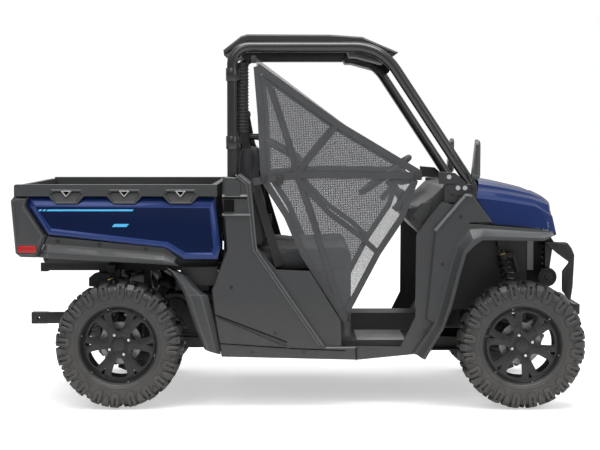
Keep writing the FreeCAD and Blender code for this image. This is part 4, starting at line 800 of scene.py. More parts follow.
class Carcass:
    """The tyre's outer line, from the middle of the tread round the shoulder to the bead."""

    def __init__(self, half):
        radius = CROWN_RADIUS
        self.half = half
        self.line = smooth_line([(0, radius), (half * 0.45, radius - 1), (half - 36, radius - 5),
                                 (half - 18, radius - 12), (half - 8, radius - 27), (half - 3, radius - 48),
                                 (half - 0.5, radius - 76), (half - 4, radius - 96),
                                 (half - 14, radius - 111), (half - 28, radius - 117)])
        self.lengths = [0.0]
        for a, b in zip(self.line, self.line[1:]):
            self.lengths.append(self.lengths[-1] + math.dist(a, b))
        self.shoulder = self.lengths[16]

    def spot(self, along, angle, aside, lift):
        """The point at a length along the line, at an angle and a sideways shift, lifted off the rubber."""
        sign = -1.0 if along < 0 else 1.0
        along = abs(along)
        i = 0
        while i < len(self.lengths) - 2 and self.lengths[i + 1] < along:
            i += 1
        t = (along - self.lengths[i]) / (self.lengths[i + 1] - self.lengths[i])
        (a0, r0), (a1, r1) = self.line[i], self.line[i + 1]
        way = Vector((a1 - a0, r1 - r0)).normalized()
        axial = a0 + (a1 - a0) * t - way.y * lift
        radius = r0 + (r1 - r0) * t + way.x * lift
        turn = math.radians(angle) + aside / radius
        return Vector((radius * math.cos(turn), sign * axial, radius * math.sin(turn)))


def lug(shape, tyre, path):
    """A raised bar of rubber: its path gives length along the tyre's line, angle, half width and height."""
    rows = []
    for along, angle, wide, high in path:
        edge = min(2.6, high * 0.3, wide * 0.4)
        section = [(-wide - high * 0.12, -4), (-wide, high - edge), (-wide + edge, high), (wide - edge, high),
                   (wide, high - edge), (wide + high * 0.12, -4)]
        rows.append([tyre.spot(along, angle, aside, lift) for aside, lift in section])
    shape.add([p for row in rows for p in row], bar_faces(len(rows[0]), len(rows)))


def tread_pitch(tyre, depth):
    """One pitch of the tread: a pair of forked shoulder lugs, and the blocks between and beside them."""
    shape = Shape()
    end = tyre.shoulder + 34
    knee = tyre.shoulder - 24
    inner = tyre.half * 0.36
    for side in (1, -1):
        for lean in (8.6, -8.6):
            lug(shape, tyre, [(side * s, lean + skew, w, depth) for s, skew, w in (
                (inner, -side * 2.2, 16), (inner + 12, -side * 1.4, 22), (knee, 0, 22), (knee + 10, 0, 21))])
            for aside in (13.5, -13.5):
                shift = math.degrees(aside / 320)
                lug(shape, tyre, [(side * s, lean + shift + skew, w, h) for s, skew, w, h in (
                    (inner, -side * 2.4, 7.6, depth), (inner + 16, -side * 1.2, 8.0, depth),
                    (knee, 0, 8.0, depth), (knee + 14, 0, 8.0, depth * 0.95),
                    (tyre.shoulder - 4, 0, 8.0, depth * 0.8), (tyre.shoulder + 10, 0, 8.2, depth * 0.72),
                    (end - 6, 0, 8.4, depth * 0.62))])
            lug(shape, tyre, [(side * s, lean, w, h) for s, w, h in (
                (inner + 22, 6, depth * 0.35), (knee, 6, depth * 0.4), (tyre.shoulder - 6, 6, depth * 0.3),
                (end - 8, 6, depth * 0.16))])
            lug(shape, tyre, [(side * s, lean, w, h) for s, w, h in (
                (end - 12, 21.8, depth * 0.64), (end - 2, 20.6, depth * 0.6), (end + 6, 16.6, depth * 0.5),
                (end + 11, 9.0, depth * 0.34))])
        lug(shape, tyre, [(side * s, 0, 8, depth * h) for s, h in (
            (tyre.shoulder - 12, 0.5), (tyre.shoulder + 4, 0.42), (tyre.shoulder + 10, 0.36))])
        lug(shape, tyre, [(side * s, 18, w, depth * h) for s, w, h in (
            (knee - 26, 6, 0.8), (knee - 4, 20, 0.9), (knee + 18, 18, 0.7), (tyre.shoulder + 6, 15, 0.5),
            (tyre.shoulder + 20, 9, 0.34), (tyre.shoulder + 30, 3, 0.2))])
    for angle, wide, shift in ((0, 12, 0), (18, 9, 0), (8.6, 24, 0.16), (-8.6, 24, -0.16)):
        lug(shape, tyre, [((s + shift) * inner, angle, w, depth) for s, w in (
            (-0.66, wide * 0.5), (-0.34, wide), (0.34, wide), (0.66, wide * 0.5))])
    return shape


def tyre_shape(half, first_angle, sizes):
    """A whole tyre about the origin, with its outer side towards plus Y."""
    tyre = Carcass(half)
    pitch = tread_pitch(tyre, sizes.tread_depth / MM).mesh("pitch")
    ring = run_tree(pitch, "ring", "tread", Count=sizes.pitches, Start=-math.radians(first_angle), Merge=0.0,
                    Finish="rubber")
    shape = Shape()
    wide = tyre.line + [(half - 34, 202), (half - 60, 198)]
    profile = [(-a, r) for a, r in reversed(wide)] + wide[1:]
    shape.lathe(profile, (0, 0, 0), (0, 1, 0), 120)
    # Raised rings on the sidewalls
    for radius, out, size in ((226, 0.2, 1.8), (214, -0.6, 2.2)):
        spot = min(tyre.line[12:], key=lambda p: abs(p[1] - radius))
        ring_line = [(spot[0] + out + size * math.cos(a), radius + size * math.sin(a))
                     for a in (2 * math.pi * k / 8 for k in range(8))]
        shape.lathe(ring_line, (0, 0, 0), (0, 1, 0), 96, closed=True)
        shape.lathe([(-a, r) for a, r in ring_line], (0, 0, 0), (0, 1, 0), 96, closed=True)
    absorb(shape, ring)
    return shape


def polar(radius, degrees):
    return (radius * math.cos(math.radians(degrees)), radius * math.sin(math.radians(degrees)))


def spoke_sector(step):
    """Half a spoke as flat faces in the X-Z plane and its mirror image, the window at the sector's edge."""
    half = step / 2
    shape = Shape()
    window = [(72, half), (73, half * 0.83), (79, half * 0.64), (94, half * 0.54), (126, half * 0.5),
              (156, half * 0.49), (167, half * 0.53), (173, half * 0.66), (174, half)]
    inner = [(40, 0), (40, half * 0.5), (40, half)]
    rim = [(190, half), (190, half * 0.75), (190, half * 0.5), (190, half * 0.25), (190, 0)]
    outline = inner + window + rim + [(178, 0), (177.5, half * 0.085), (174, half * 0.09), (146, 0)]
    for sign in (1, -1):
        points = []
        for radius, angle in outline:
            x, z = polar(radius, angle * sign)
            points.append((x, 0, z))
        shape.add(points, [list(range(len(points)))], recalc=False)
    bmesh.ops.remove_doubles(shape.bm, verts=shape.bm.verts[:], dist=0.02)
    return shape


def rim_shape(half, first_angle, nut_angle, sizes):
    """A whole rim about the origin, with its face towards plus Y, for a tyre of that half width."""
    origin, axle = (0, 0, 0), (0, 1, 0)
    first, first_nut = -math.radians(first_angle), -math.radians(nut_angle)
    shape = Shape()

    def around(part, count, start, key, slot=0):
        """Repeat a part about the axle and take it into the rim."""
        ring = run_tree(part.mesh("part"), "ring", "parts", Count=count, Start=start, Merge=0.0, Finish=key)
        absorb(shape, ring, slot)

    absorb(shape, run_tree(spoke_sector(360 / sizes.spokes).mesh("sector"), "ring", "spokes",
                           Count=sizes.spokes, Start=first, Merge=0.0002, Finish="rim"))
    bm = shape.bm
    bmesh.ops.dissolve_degenerate(bm, dist=0.01, edges=bm.edges[:])
    # The spokes' face leans in towards the rim
    face_y, lean, thickness = 66.0, 0.03, 13
    for vert in bm.verts:
        vert.co.y = face_y - lean * max(0.0, math.hypot(vert.co.x, vert.co.z) - 60.0)
    made = bmesh.ops.extrude_face_region(bm, geom=bm.faces[:])
    lifted = {v for v in made["geom"] if isinstance(v, bmesh.types.BMVert)}
    bmesh.ops.translate(bm, verts=list(lifted), vec=(0, -thickness, 0))
    bmesh.ops.recalc_face_normals(bm, faces=bm.faces[:])
    top = [e for e in bm.edges if len(e.link_faces) == 2 and not lifted.intersection(e.verts)
           and e.calc_face_angle(0.0) > 0.9]
    shape.round(top, 2.4, 2)
    bmesh.ops.triangulate(bm, faces=[f for f in bm.faces if len(f.verts) > 4])
    # Barrel, hub cap, hub and brake disc
    shape.lathe([(56, 184), (63, 186), (66, 189), (half - 40, 194.5), (half - 34, 195.5), (half - 27, 198),
                 (half - 24, 201), (half - 25, 204), (half - 31, 204), (half - 38, 199), (60, 194), (40, 184),
                 (20, 176), (-50, 176), (-66, 188), (-75, 200), (-76, 196), (-66, 182), (-50, 170), (14, 170),
                 (34, 174)], origin, axle, 84, closed=True)
    shape.lathe([(52, 44), (70, 44), (72, 40), (72, 37.5), (75, 36), (79, 34), (80.5, 28), (81, 0)], origin,
                axle, 36)
    shape.lathe([(30, 20), (30, 60), (20, 74), (-10, 78), (-10, 20)], origin, axle, 40, closed=True)
    shape.slot = 2
    shape.lathe([(-14, 20), (-14, 112), (-20, 112), (-20, 20)], origin, axle, 60, closed=True)
    shape.slot = 0
    # A raised field on each spoke's foot
    pad_shape = Shape()
    corners = [polar(r, a) for r, a in ((66, -15), (100, -11.5), (108, 0), (100, 11.5), (66, 15))]
    inner = [polar(r, a) for r, a in ((70, -11.5), (95, -8.5), (102, 0), (95, 8.5), (70, 11.5))]
    points = []
    for line, y in ((corners, 68.4), (inner, 69.0), (corners, 62), (inner, 65.0)):
        points += [(x, y, z) for x, z in line]
    faces = []
    for low, high in ((0, 5), (0, 10), (5, 15)):
        faces += [[low + k, low + (k + 1) % 5, high + (k + 1) % 5, high + k] for k in range(5)]
    pad_shape.add(points, faces)
    around(pad_shape, sizes.spokes, first, "rim")
    nut = Shape()
    hexagon = [(56 + 8.2 * math.cos(math.radians(60 * k)), 8.2 * math.sin(math.radians(60 * k)))
               for k in range(6)]
    nut.prism(hexagon, "xz", 63, 77, 1.4, 2)
    nut.lathe([(74, 4.5), (82, 4.5), (83, 3.4), (83, 0)], (56, 0, 0), axle, 14)
    around(nut, sizes.nuts, first_nut, "bright", 1)
    seat = Shape()
    seat.lathe([(62, 17), (67.6, 17), (68.4, 15.5), (67.0, 12.5), (64, 12)], (56, 0, 0), axle, 24)
    around(seat, sizes.nuts, first_nut, "rim")
    clip = Shape()
    clip.box((193.5, half - 35, -3.2), (199, half - 26, 3.2), 0.6)
    around(clip, 6, 0.26, "bright", 2)
    return shape


WHEELS = (("front", "right", FRONT_AXLE, FRONT_WHEEL_Y), ("front", "left", FRONT_AXLE, FRONT_WHEEL_Y),
          ("rear", "right", REAR_AXLE, REAR_WHEEL_Y), ("rear", "left", REAR_AXLE, REAR_WHEEL_Y))
# The tyre's half width, then the turns in degrees of its tread, its spokes and its nuts
WHEEL_LOOKS = {"front": (115.0, 91.5, -15.0, 18.0), "rear": (140.0, 95.4, 0.0, 26.0)}


def place_wheel(shape, x, y, side):
    """Move a wheel piece from the origin to its axle: the outer side faces away from the vehicle."""
    if side == "right":
        shape.flip()
        y = -y
    return shape.move(Matrix.Translation((x, y, AXLE_Z)))


def make_tyres(sizes):
    for end, side, x, y in WHEELS:
        half, tread_turn = WHEEL_LOOKS[end][:2]
        shape = place_wheel(tyre_shape(half, tread_turn, sizes), x, y, side)
        piece("tyre_%s_%s_skin" % (end, side), shape, "wheel_%s_%s" % (end, side), "rubber",
              ["tyre_%s_%s" % (end, side)])


def make_rims(sizes):
    for end, side, x, y in WHEELS:
        half, _, spoke_turn, nut_turn = WHEEL_LOOKS[end]
        shape = place_wheel(rim_shape(half, spoke_turn, nut_turn, sizes), x, y, side)
        piece("rim_%s_%s_skin" % (end, side), shape, "wheel_%s_%s" % (end, side),
              ["rim", "bright", "steel"], ["rim_%s_%s" % (end, side)])


# Cage

def make_cage():
    """Bent tubes of the roll cage with their clamps."""
    side = arc_path([(-355, -CAGE_Y, 318), (-355, -CAGE_Y, 1897), (425, -CAGE_Y, 1897), (905, -CAGE_Y, 1170),
                     (905, -CAGE_Y, 1000)], [90, 260, 60], 5)
    shape = Shape()
    shape.tube(side, 28, 24)
    for z in (1753, 1397):
        shape.lathe([(-34, 29), (-34, 32.5), (-31, 34), (31, 34), (34, 32.5), (34, 29)], (-355, -CAGE_Y, z),
                    (0, 0, 1), 28)
        shape.box((-335, -CAGE_Y - 9, z - 26), (-312, -CAGE_Y + 9, z + 26), 3)
        shape.rod((-322, -CAGE_Y - 14, z + 12), (-322, -CAGE_Y + 14, z + 12), 6, 12, 1)
        shape.rod((-322, -CAGE_Y - 14, z - 12), (-322, -CAGE_Y + 14, z - 12), 6, 12, 1)
    shape.mirror()
    piece("roll_cage_tubes", shape, "chassis", "cage", ["roll_cage_sides"])
    bars = Shape()
    for x, z in ((-270, 1903), (300, 1887), (-355, 760), (905, 1020), (-355, 1426)):
        bars.tube([(x, -612, z), (x, -300, z), (x, 300, z), (x, 612, z)], 20, 20)
        for y in (-604, 604):
            bars.lathe([(-8, 20), (-8, 25), (4, 24), (8, 20)], (x, y, z), (0, 1, 0), 24)
    shoulder = Shape()
    shoulder.tube(arc_path([(-355, -450, 1426), (-222, -450, 1426), (5, -450, 1300), (5, -450, 1221)],
                           [70, 60]), 16, 18)
    shoulder.mirror()
    absorb(bars, shoulder.mesh("shoulder"))
    piece("roll_cage_bars", bars, "chassis", "cage", ["cage_crossbars"])


# Body panels

def skin(name, node, body, finishes, width, steps, angle, extra=None, smooth=40.0):
    """A CAD panel with rounded edges and, where asked for, more shapes on it."""
    shape = rounded_copy(node, width, steps, angle)
    if extra:
        extra(shape)
    return piece(name, shape.mesh(name, smooth=smooth), body, finishes, [node])


def round_creases(shape, made, rear, width, angle):
    """Round a panel's edges where faces meet at more than an angle, apart from those of its flat back."""
    flat = set(rear)
    edges = {e for f in made for e in f.edges if e.calc_face_angle(0.0) > math.radians(angle)
             and not (e.verts[0] in flat and e.verts[1] in flat)}
    shape.round(edges, width, 1, marked=True)


def relief(shape, rows, back):
    """A panel whose outer face is a grid of facets, in rows of (x, z, distance from the middle)."""
    new = shape.bm.faces.new
    front = [[shape.bm.verts.new((x, -y, z)) for x, z, y in row] for row in rows]
    rear = [[shape.bm.verts.new((x, -back, z)) for x, z, y in row] for row in rows]
    made = []
    for i in range(len(rows) - 1):
        for k in range(len(rows[0]) - 1):
            made.append(new([front[i][k], front[i][k + 1], front[i + 1][k + 1], front[i + 1][k]]))
            made.append(new([rear[i][k], rear[i + 1][k], rear[i + 1][k + 1], rear[i][k + 1]]))
    border = [(front[0], rear[0]), ([r[-1] for r in front], [r[-1] for r in rear]),
              (front[-1][::-1], rear[-1][::-1]), ([r[0] for r in front][::-1], [r[0] for r in rear][::-1])]
    for a, b in border:
        made += [new([a[k], b[k], b[k + 1], a[k + 1]]) for k in range(len(a) - 1)]
    shape.settle(made)
    round_creases(shape, made, [v for row in rear for v in row], 3.0, 9.0)


def nested(shape, rings, back, round_over, angle=9.0):
    """A panel of outlines one inside the other: each is a list of (x, z) and its distance from the middle."""
    loops = []
    for outline, y in rings:
        outs = y if isinstance(y, (list, tuple)) else [y] * len(outline)
        loops.append([shape.bm.verts.new((x, -out, z)) for (x, z), out in zip(outline, outs)])
    rear = [shape.bm.verts.new((x, -back, z)) for x, z in rings[0][0]]
    made = []
    for a, b in zip([rear] + loops, loops):
        made += shape.join(a, b)
    made += [shape.bm.faces.new(rear), shape.bm.faces.new(loops[-1])]
    shape.settle(made)
    round_creases(shape, made, rear, round_over, angle)


FLARE_OUTER = [(1321, 934), (1262, 940), (960, 966), (882, 972), (819, 872), (788, 784), (745, 610),
               (705, 452), (596, 292)]
FLARE_INNER = [(1318, 915), (1268, 885), (943, 888), (905, 855), (867, 818), (837, 712), (793, 537),
               (752, 428), (655, 265)]
GUARD_PANEL = [(-587, 694), (-520, 616), (-483, 596), (-473, 554), (-452, 471), (-416, 284)]
GUARD_WHEEL = [(-696, 746), (-648, 682), (-606, 606), (-578, 520), (-546, 424), (-499, 315)]


def between(outer, inner, share, out):
    """The points at a share of the way from one line to another, at a distance from the middle."""
    return [(a[0] + (b[0] - a[0]) * share, a[1] + (b[1] - a[1]) * share, out) for a, b in zip(outer, inner)]


def make_flares():
    """Side panels with their sill and cowl, and the wheel flares."""
    skin("side_panel_skins", "side_panels", "chassis", ["panel", "trim"], 11, 1, 22.0,
         smooth=20)
    flare = Shape()
    relief(flare, [between(FLARE_OUTER, FLARE_INNER, share, out) for share, out in (
        (0.0, 721), (0.24, 723), (0.68, 789), (0.97, 779), (1.0, 726))], 716)
    relief(flare, [between(GUARD_PANEL, GUARD_WHEEL, share, out) for share, out in (
        (0.0, 716), (0.3, 742), (0.75, 763), (1.0, 748))], 700)
    # Shelves and wells behind the flares
    flare.slot = 1
    well = [(590, 290), (648, 268), (700, 330), (752, 440), (793, 545), (836, 716), (866, 820), (940, 890),
            (1268, 888), (1300, 905), (1290, 938), (880, 968), (800, 900), (750, 700), (690, 450)]
    flare.prism(well, "xz", -706, -700, 1.5, 1)
    shelf = [(895, 968), (1300, 930), (1300, 922), (1260, 905), (930, 905), (885, 860)]
    flare.prism(shelf, "xz", -704, -606, 2, 1)
    back = [(-690, 742), (-590, 690), (-524, 612), (-486, 592), (-476, 550), (-455, 470), (-420, 290),
            (-497, 318), (-544, 426), (-588, 566), (-622, 655), (-668, 712)]
    flare.prism(back, "xz", -702, -618, 2, 1)
    flare.mirror()
    piece("wheel_flare_skins", flare, "chassis", ["panel", "trim"], ["wheel_flares"])


def make_linings():
    """Linings of the cab and the wheel wells."""
    # Dark linings seen through the slits: under the hood's edges and behind the cab
    lining = Shape()
    lining.add([(945, -578, 880), (1290, -498, 880), (1290, -498, 935), (945, -578, 985), (945, -572, 880),
                (1290, -492, 880), (1290, -492, 935), (945, -572, 985)],
               [[0, 1, 2, 3], [7, 6, 5, 4], [0, 4, 5, 1], [1, 5, 6, 2], [2, 6, 7, 3], [3, 7, 4, 0]])
    lining.mirror()
    lining.box((-404, -606, 640), (-398, 606, 1116), 2, 1)
    for y in (-400, -200, 0, 200, 400):
        lining.box((-408, y - 14, 690), (-402, y + 14, 1090), 2, 1)
    # Splash panels inside the front wheels, and the panels before the bed
    wells = Shape()
    wells.prism([(832, 480), (1236, 480), (1240, 888), (905, 888), (862, 800)], "xz", -344, -338, 3, 1)
    wells.prism([(-645, 640), (-434, 640), (-434, 742), (-628, 742)], "xz", -640, -632, 3, 1)
    wells.prism([(757, 1078), (862, 1078), (862, 1172), (757, 1180)], "xz", -668, -612, 5, 1)
    wells.mirror()
    absorb(lining, wells.mesh("wells"))
    piece("cab_linings", lining, "chassis", "trim")


def make_panel_lines():
    """Grooves in black felt as painted shade, lips lighter as a painted highlight, and bolts of the side
    panels.
    """
    lines = Shape()
    # The grooves: black felt strips standing on the panel, painted shade where the grooves would be dark.
    lines.slot = 1
    groove = -PANEL_Y - 1.0
    lines.strap([(-452, groove, 494), (-440, groove, 492), (-68, groove, 351)], 6, 4.0, (0, 1, 0))
    for x0, z0, x1, z1 in ((-421, 343, -68, 320), (-60, 318, 240, 306)):
        lines.strap([(x0, groove, z0), (x1, groove, z1)], 5, 4.0, (0, 1, 0))
    lines.strap([(296, -PANEL_Y - 0.4, 320), (296, -PANEL_Y - 0.4, 252)], 3, 3.0, (0, 1, 0))
    side = -PANEL_Y - 1.5
    # The lips: raised facets in a lighter plastic, a painted highlight where they face up.
    lines.slot = 0
    for shift in (0, 17):
        lines.strap([(-322 - shift, side, 1230), (-262 - shift, side, 1182), (-228 - shift, side, 838),
                     (120 - shift, side, 332)], 7, 5.0, facing=(0.5, -0.62, 0.6))
    lines.strap([(-406, side - 1, 1021), (-258, side - 1, 1021)], 17, 5.0, facing=(0, -0.6, 0.8))
    lines.strap([(-406, side - 1, 1119), (-276, side - 1, 1119)], 12, 7.0, facing=(0, -0.8, 0.6))
    lines.strap([(706, side, 936), (866, side, 1124), (898, side, 1120)], 20, 5.0, facing=(-0.42, -0.6, 0.68))
    # A black felt block and a black line under the upper lip: painted shade.
    lines.slot = 1
    lines.prism([(-397, 1037), (-346, 1037), (-346, 1099), (-397, 1099)], "xz", -PANEL_Y - 8.6, -PANEL_Y + 2,
                2, 1)
    lines.strap([(-406, side, 1108), (-276, side, 1108)], 8, 4.0, facing=(0, -1, 0))
    lines.mirror()
    piece("side_panel_lines", lines, "chassis", ["bevel", "lining"])
    # Flush bolts in the panels, dark
    spots = [((x, -PANEL_Y - 1, z), (0, -1, 0)) for x, z in (
        (-372, 1190), (-245, 1150), (-360, 640), (-130, 400), (-250, 300), (20, 300), (655, 400), (745, 760),
        (840, 1010))]
    bolts("panel_bolts", "chassis", both_sides(spots), "frame", 6.5, 4.0, 12)


def make_panels():
    make_flares()
    make_linings()
    make_panel_lines()


BED_OUTER = [(-1412, 1118), (-446, 1108), (-414, 849), (-431, 789), (-605, 789), (-700, 849), (-1313, 917),
             (-1427, 1073)]
BED_BAND = [(-1380, 1070), (-466, 1062), (-441, 858), (-452, 812), (-602, 812), (-696, 866), (-1305, 930),
            (-1386, 1062)]
BED_FIELD = [(-1377, 1066), (-470, 1058), (-450, 860), (-460, 822), (-598, 822), (-690, 877), (-1297, 949),
             (-1380, 1060)]


def make_bed_sides():
    """Painted sides of the bed with their stripes, and the tub."""
    side = Shape()
    nested(side, [(BED_OUTER, [722, 722, 728, 742, 742, 744, 744, 726]),
                  (BED_BAND, [746, 746, 748, 752, 752, 753, 753, 744]), (BED_FIELD, 745)], 697,
                  round_over=1.6,
           angle=5.0)
    # The large sunk fields take the darker copy of the paint: painted shade.
    for face in side.bm.faces:
        if abs(face.calc_center_median().y + 745) < 0.6 and face.calc_area() > 60000:
            face.material_index = 1
    side.mirror()
    piece("bed_side_skins", side, "bed", ["paint", "shaded paint"], ["bed_sides"])
    stripe = Shape()
    for low, high, x0, x1 in ((1040, 1049.5, -1318, -870), (1040, 1049.5, -1360, -1346),
                              (1040, 1049.5, -1339, -1325), (958, 973.5, -974, -898)):
        lean = (high - low) * 0.45
        outline = [(x0 - lean, low), (x1 - lean, low), (x1 + lean, high), (x0 + lean, high)]
        stripe.prism(outline, "xz", -746.1, -744.6)
    stripe.mirror()
    piece("bed_stripes", stripe, "bed", "stripe")
    skin("bed_tub_skin", "bed_tub", "bed", ["panel"], 5, 2, 24.0)


def make_bed_trims():
    """Lower trims with their ribs, and the corner caps."""
    trims = Shape()
    rows = [[(-1318, 909, 730), (-1308, 908, 730), (-1000, 878, 730), (-704, 849, 730), (-641, 799, 728)],
            [(-1337, 864, 726), (-1316, 864, 727), (-1000, 841, 727), (-712, 818, 727), (-652, 786, 734)],
            [(-1352, 834, 728), (-1316, 829, 757), (-1000, 806, 757), (-712, 783, 757), (-655, 768, 741)],
            [(-1373, 797, 722), (-1316, 794, 744), (-1000, 776, 744), (-700, 760, 744), (-631, 750, 728)]]
    relief(trims, rows, 697)
    for low, high in ((-1218, -1068), (-968, -772)):
        top = 860 - (low + 1316) * TRIM_FALL
        end = 860 - (high + 1316) * TRIM_FALL
        outline = [(low, top - 4), (high, end - 4), (high + 22, end - 30), (high - 4, end - 24),
                   (low + 8, top - 20), (low - 6, top - 12)]
        rib = [(x, z0, 727 + (864 - (x + 1316) * TRIM_FALL - z0) * 0.86) for x, z0 in outline]
        base = [trims.bm.verts.new((x, -y + 7, z0)) for x, z0, y in rib]
        head = []
        for x, z0, y in rib:
            proud = 5.0 if z0 > 862 - (x + 1316) * TRIM_FALL - 15 else 0.6
            head.append(trims.bm.verts.new((x, -y - proud, z0)))
        trims.settle([trims.bm.faces.new(head), trims.bm.faces.new(base)] + trims.join(base, head))
    # Corner caps behind the painted sides
    cap_outer = [(-1487, 1123), (-1412, 1118), (-1427, 1068), (-1322, 909), (-1372, 797), (-1462, 799),
                 (-1487, 819), (-1511, 1094)]
    cap_inner = [(-1476, 1106), (-1432, 1102), (-1446, 1062), (-1346, 912), (-1388, 812), (-1458, 814),
                 (-1478, 828), (-1498, 1090)]
    cap = Shape()
    nested(cap, [(cap_outer, [722, 722, 722, 724, 730, 730, 730, 724]), (cap_inner, 747)], 697,
           round_over=2.5, angle=7.0)
    absorb(trims, cap.mesh("cap"))
    recess = [(-1478, 866), (-1370, 866), (-1370, 815), (-1478, 815)]
    trims.prism(recess, "xz", -748.5, -744, 1.2, 1)
    trims.mirror()
    piece("bed_trim_skins", trims, "bed", ["panel"], ["bed_trims"])
    spots = [((x, -731, z), (0, -1, 0)) for x, z in ((-1266, 883), (-1048, 864), (-806, 842))]
    bolts("bed_trim_bolts", "bed", both_sides(spots), "frame", 7, 4, 12)


def make_tail_lamps():
    """Tail lamps with their ribs."""
    lamp = Shape()
    outline = [(-1472, 859), (-1376, 859), (-1376, 822), (-1472, 822)]
    lamp.prism(outline, "xz", -754, -747, 3, 2)
    lamp.slot = 1
    for i in range(5):
        lamp.box((-1464 + i * 17, -755, 826), (-1462.4 + i * 17, -753.6, 855), 0.3, 1)
    lamp.mirror()
    piece("tail_lamp_lenses", lamp, "bed", ["red", "trim"], ["tail_lamps"])


def make_tie_hooks():
    """Plates with tie hooks along the bed's rails, with painted shade in their recesses."""
    hooks = Shape()
    for x in (-1217, -915, -622):
        plate = [(x - 90, 1126), (x - 57, 1079), (x + 57, 1079), (x + 90, 1126), (x + 80, 1153),
                 (x - 80, 1153)]
        field = [(x - 84, 1126), (x - 53, 1085), (x + 53, 1085), (x + 84, 1126), (x + 75, 1149),
                 (x - 75, 1149)]
        floor = [(x - 77, 1126), (x - 50, 1092), (x + 50, 1092), (x + 77, 1126), (x + 69, 1146),
                 (x - 69, 1146)]
        nested(hooks, [(plate, 751), (field, 754), (floor, 750)], 727, round_over=0)
        for vert in hooks.bm.verts:
            if abs(vert.co.y + 750) < 0.1 and vert.co.z > 1110:
                vert.co.y += 15 if vert.co.z > 1140 else 9
        # The recess floor round each hook takes the darker trim: painted shade.
        for face in hooks.bm.faces:
            middle = face.calc_center_median()
            near = abs(middle.x - x) < 60 and middle.z > 1100 and -752 < middle.y < -736
            if near and face.calc_area() > 2500:
                face.material_index = 3
        hooks.slot = 1
        corners = [Vector((x - 25, -748, 1145)), Vector((x, -755, 1117)), Vector((x + 25, -748, 1145))]
        for a, b in zip(corners, corners[1:] + corners[:1]):
            hooks.rod(a, b, 2.6, 8, 0.8)
        # A black felt triangle in each hook's opening: painted shade.
        hooks.slot = 2
        hooks.prism([(x - 22, 1143), (x + 22, 1143), (x, 1120)], "xz", -746, -744)
        hooks.slot = 0
    hooks.mirror()
    piece("bed_tie_hooks", hooks, "bed", ["panel", "bright", "lining", "trim"])


def make_tailgate():
    """The tailgate with its raised fields and handle."""
    gate = rounded_copy("tailgate", 5, 1, 22.0)
    for y in (-420, 0, 420):
        gate.box((-1506, y - 120, 940), (-1501, y + 120, 1110), 4, 1)
    gate.box((-1510, -110, 1128), (-1502, 110, 1158), 3, 2)
    piece("tailgate_skin", gate, "tailgate", ["panel"], ["tailgate"])


def make_bed():
    make_bed_sides()
    make_bed_trims()
    make_tail_lamps()
    make_tie_hooks()
    make_tailgate()


# Each row from the back round the corner to the nose: X, distance from the middle, Z
HOOD_ROWS = (
    ((1027, 582, 962), (1330, 508, 931), (1376, 492, 903), (1391, 325, 885), (1395, 0, 880)),
    ((934, 600, 1104), (1262, 520, 1053), (1352, 506, 1000), (1362, 330, 1018), (1365, 0, 1020)),
    ((934, 577, 1122), (1256, 499, 1070), (1340, 488, 1018), (1366, 320, 1042), (1369, 0, 1045)),
    ((944, 570, 1141), (1240, 490, 1094), (1336, 470, 1060), (1363, 310, 1066), (1366, 0, 1068)),
    ((948, 530, 1160), (1236, 456, 1110), (1324, 440, 1079), (1349, 290, 1083), (1352, 0, 1086)),
    ((953, 522, 1176), (1238, 446, 1121), (1310, 420, 1097), (1327, 270, 1101), (1331, 0, 1104)),
    ((957, 470, 1194), (1244, 396, 1134), (1288, 370, 1114), (1300, 250, 1117), (1304, 0, 1120)))


def make_hood():
    """The painted hood with its creases, as a thin shell."""
    shape = Shape()
    grid = []
    for start, bend, corner, shoulder, nose in HOOD_ROWS:
        row = []
        for k in range(6):
            row.append([a + (b - a) * k / 5 for a, b in zip(start, bend)])
            row[-1][2] += 4 * math.sin(math.pi * k / 5)
        for a, b in ((bend, corner), (corner, shoulder), (shoulder, nose)):
            row += [[p + (q - p) * k / 3 for p, q in zip(a, b)] for k in range(1, 4)]
        grid.append(row)
    grid.append([[x, 0, z + 9 * (y / 470) ** 0.5] for x, y, z in grid[-1]])
    width = len(grid[0])
    points = [(x, -y, z) for row in grid for x, y, z in row] + [(x, y, z) for row in grid for x, y, z in row]
    half = len(grid) * width
    faces = []
    for corners in grid_faces(len(grid), width):
        faces += [corners, [half + c for c in reversed(corners)]]
    shape.add(points, faces, recalc=False)
    bm = shape.bm
    bmesh.ops.remove_doubles(bm, verts=bm.verts[:], dist=0.05)
    bmesh.ops.dissolve_degenerate(bm, dist=0.01, edges=bm.edges[:])
    bmesh.ops.recalc_face_normals(bm, faces=bm.faces[:])
    if sum(f.normal.z * f.calc_area() for f in bm.faces) < 0:
        bmesh.ops.reverse_faces(bm, faces=bm.faces[:])
    sharp = [e for e in bm.edges if len(e.link_faces) == 2 and e.calc_face_angle(0.0) > math.radians(11)]
    shape.round(sharp, 2.5, 2)
    shell = add_object("hood_shell", shape.mesh("hood", smooth=11))
    wall = shell.modifiers.new("wall", "SOLIDIFY")
    wall.thickness = 0.004
    bake_modifiers(shell)
    shell.data.set_sharp_from_angle(angle=math.radians(16))
    # Broad faces keep their own normals beside the narrow bevels
    normals = shell.modifiers.new("normals", "WEIGHTED_NORMAL")
    normals.keep_sharp = True
    normals.weight = 90
    bake_modifiers(shell)
    made = shell.data
    bpy.data.objects.remove(shell)
    piece("hood_skin", made, "hood", "paint", ["hood"])


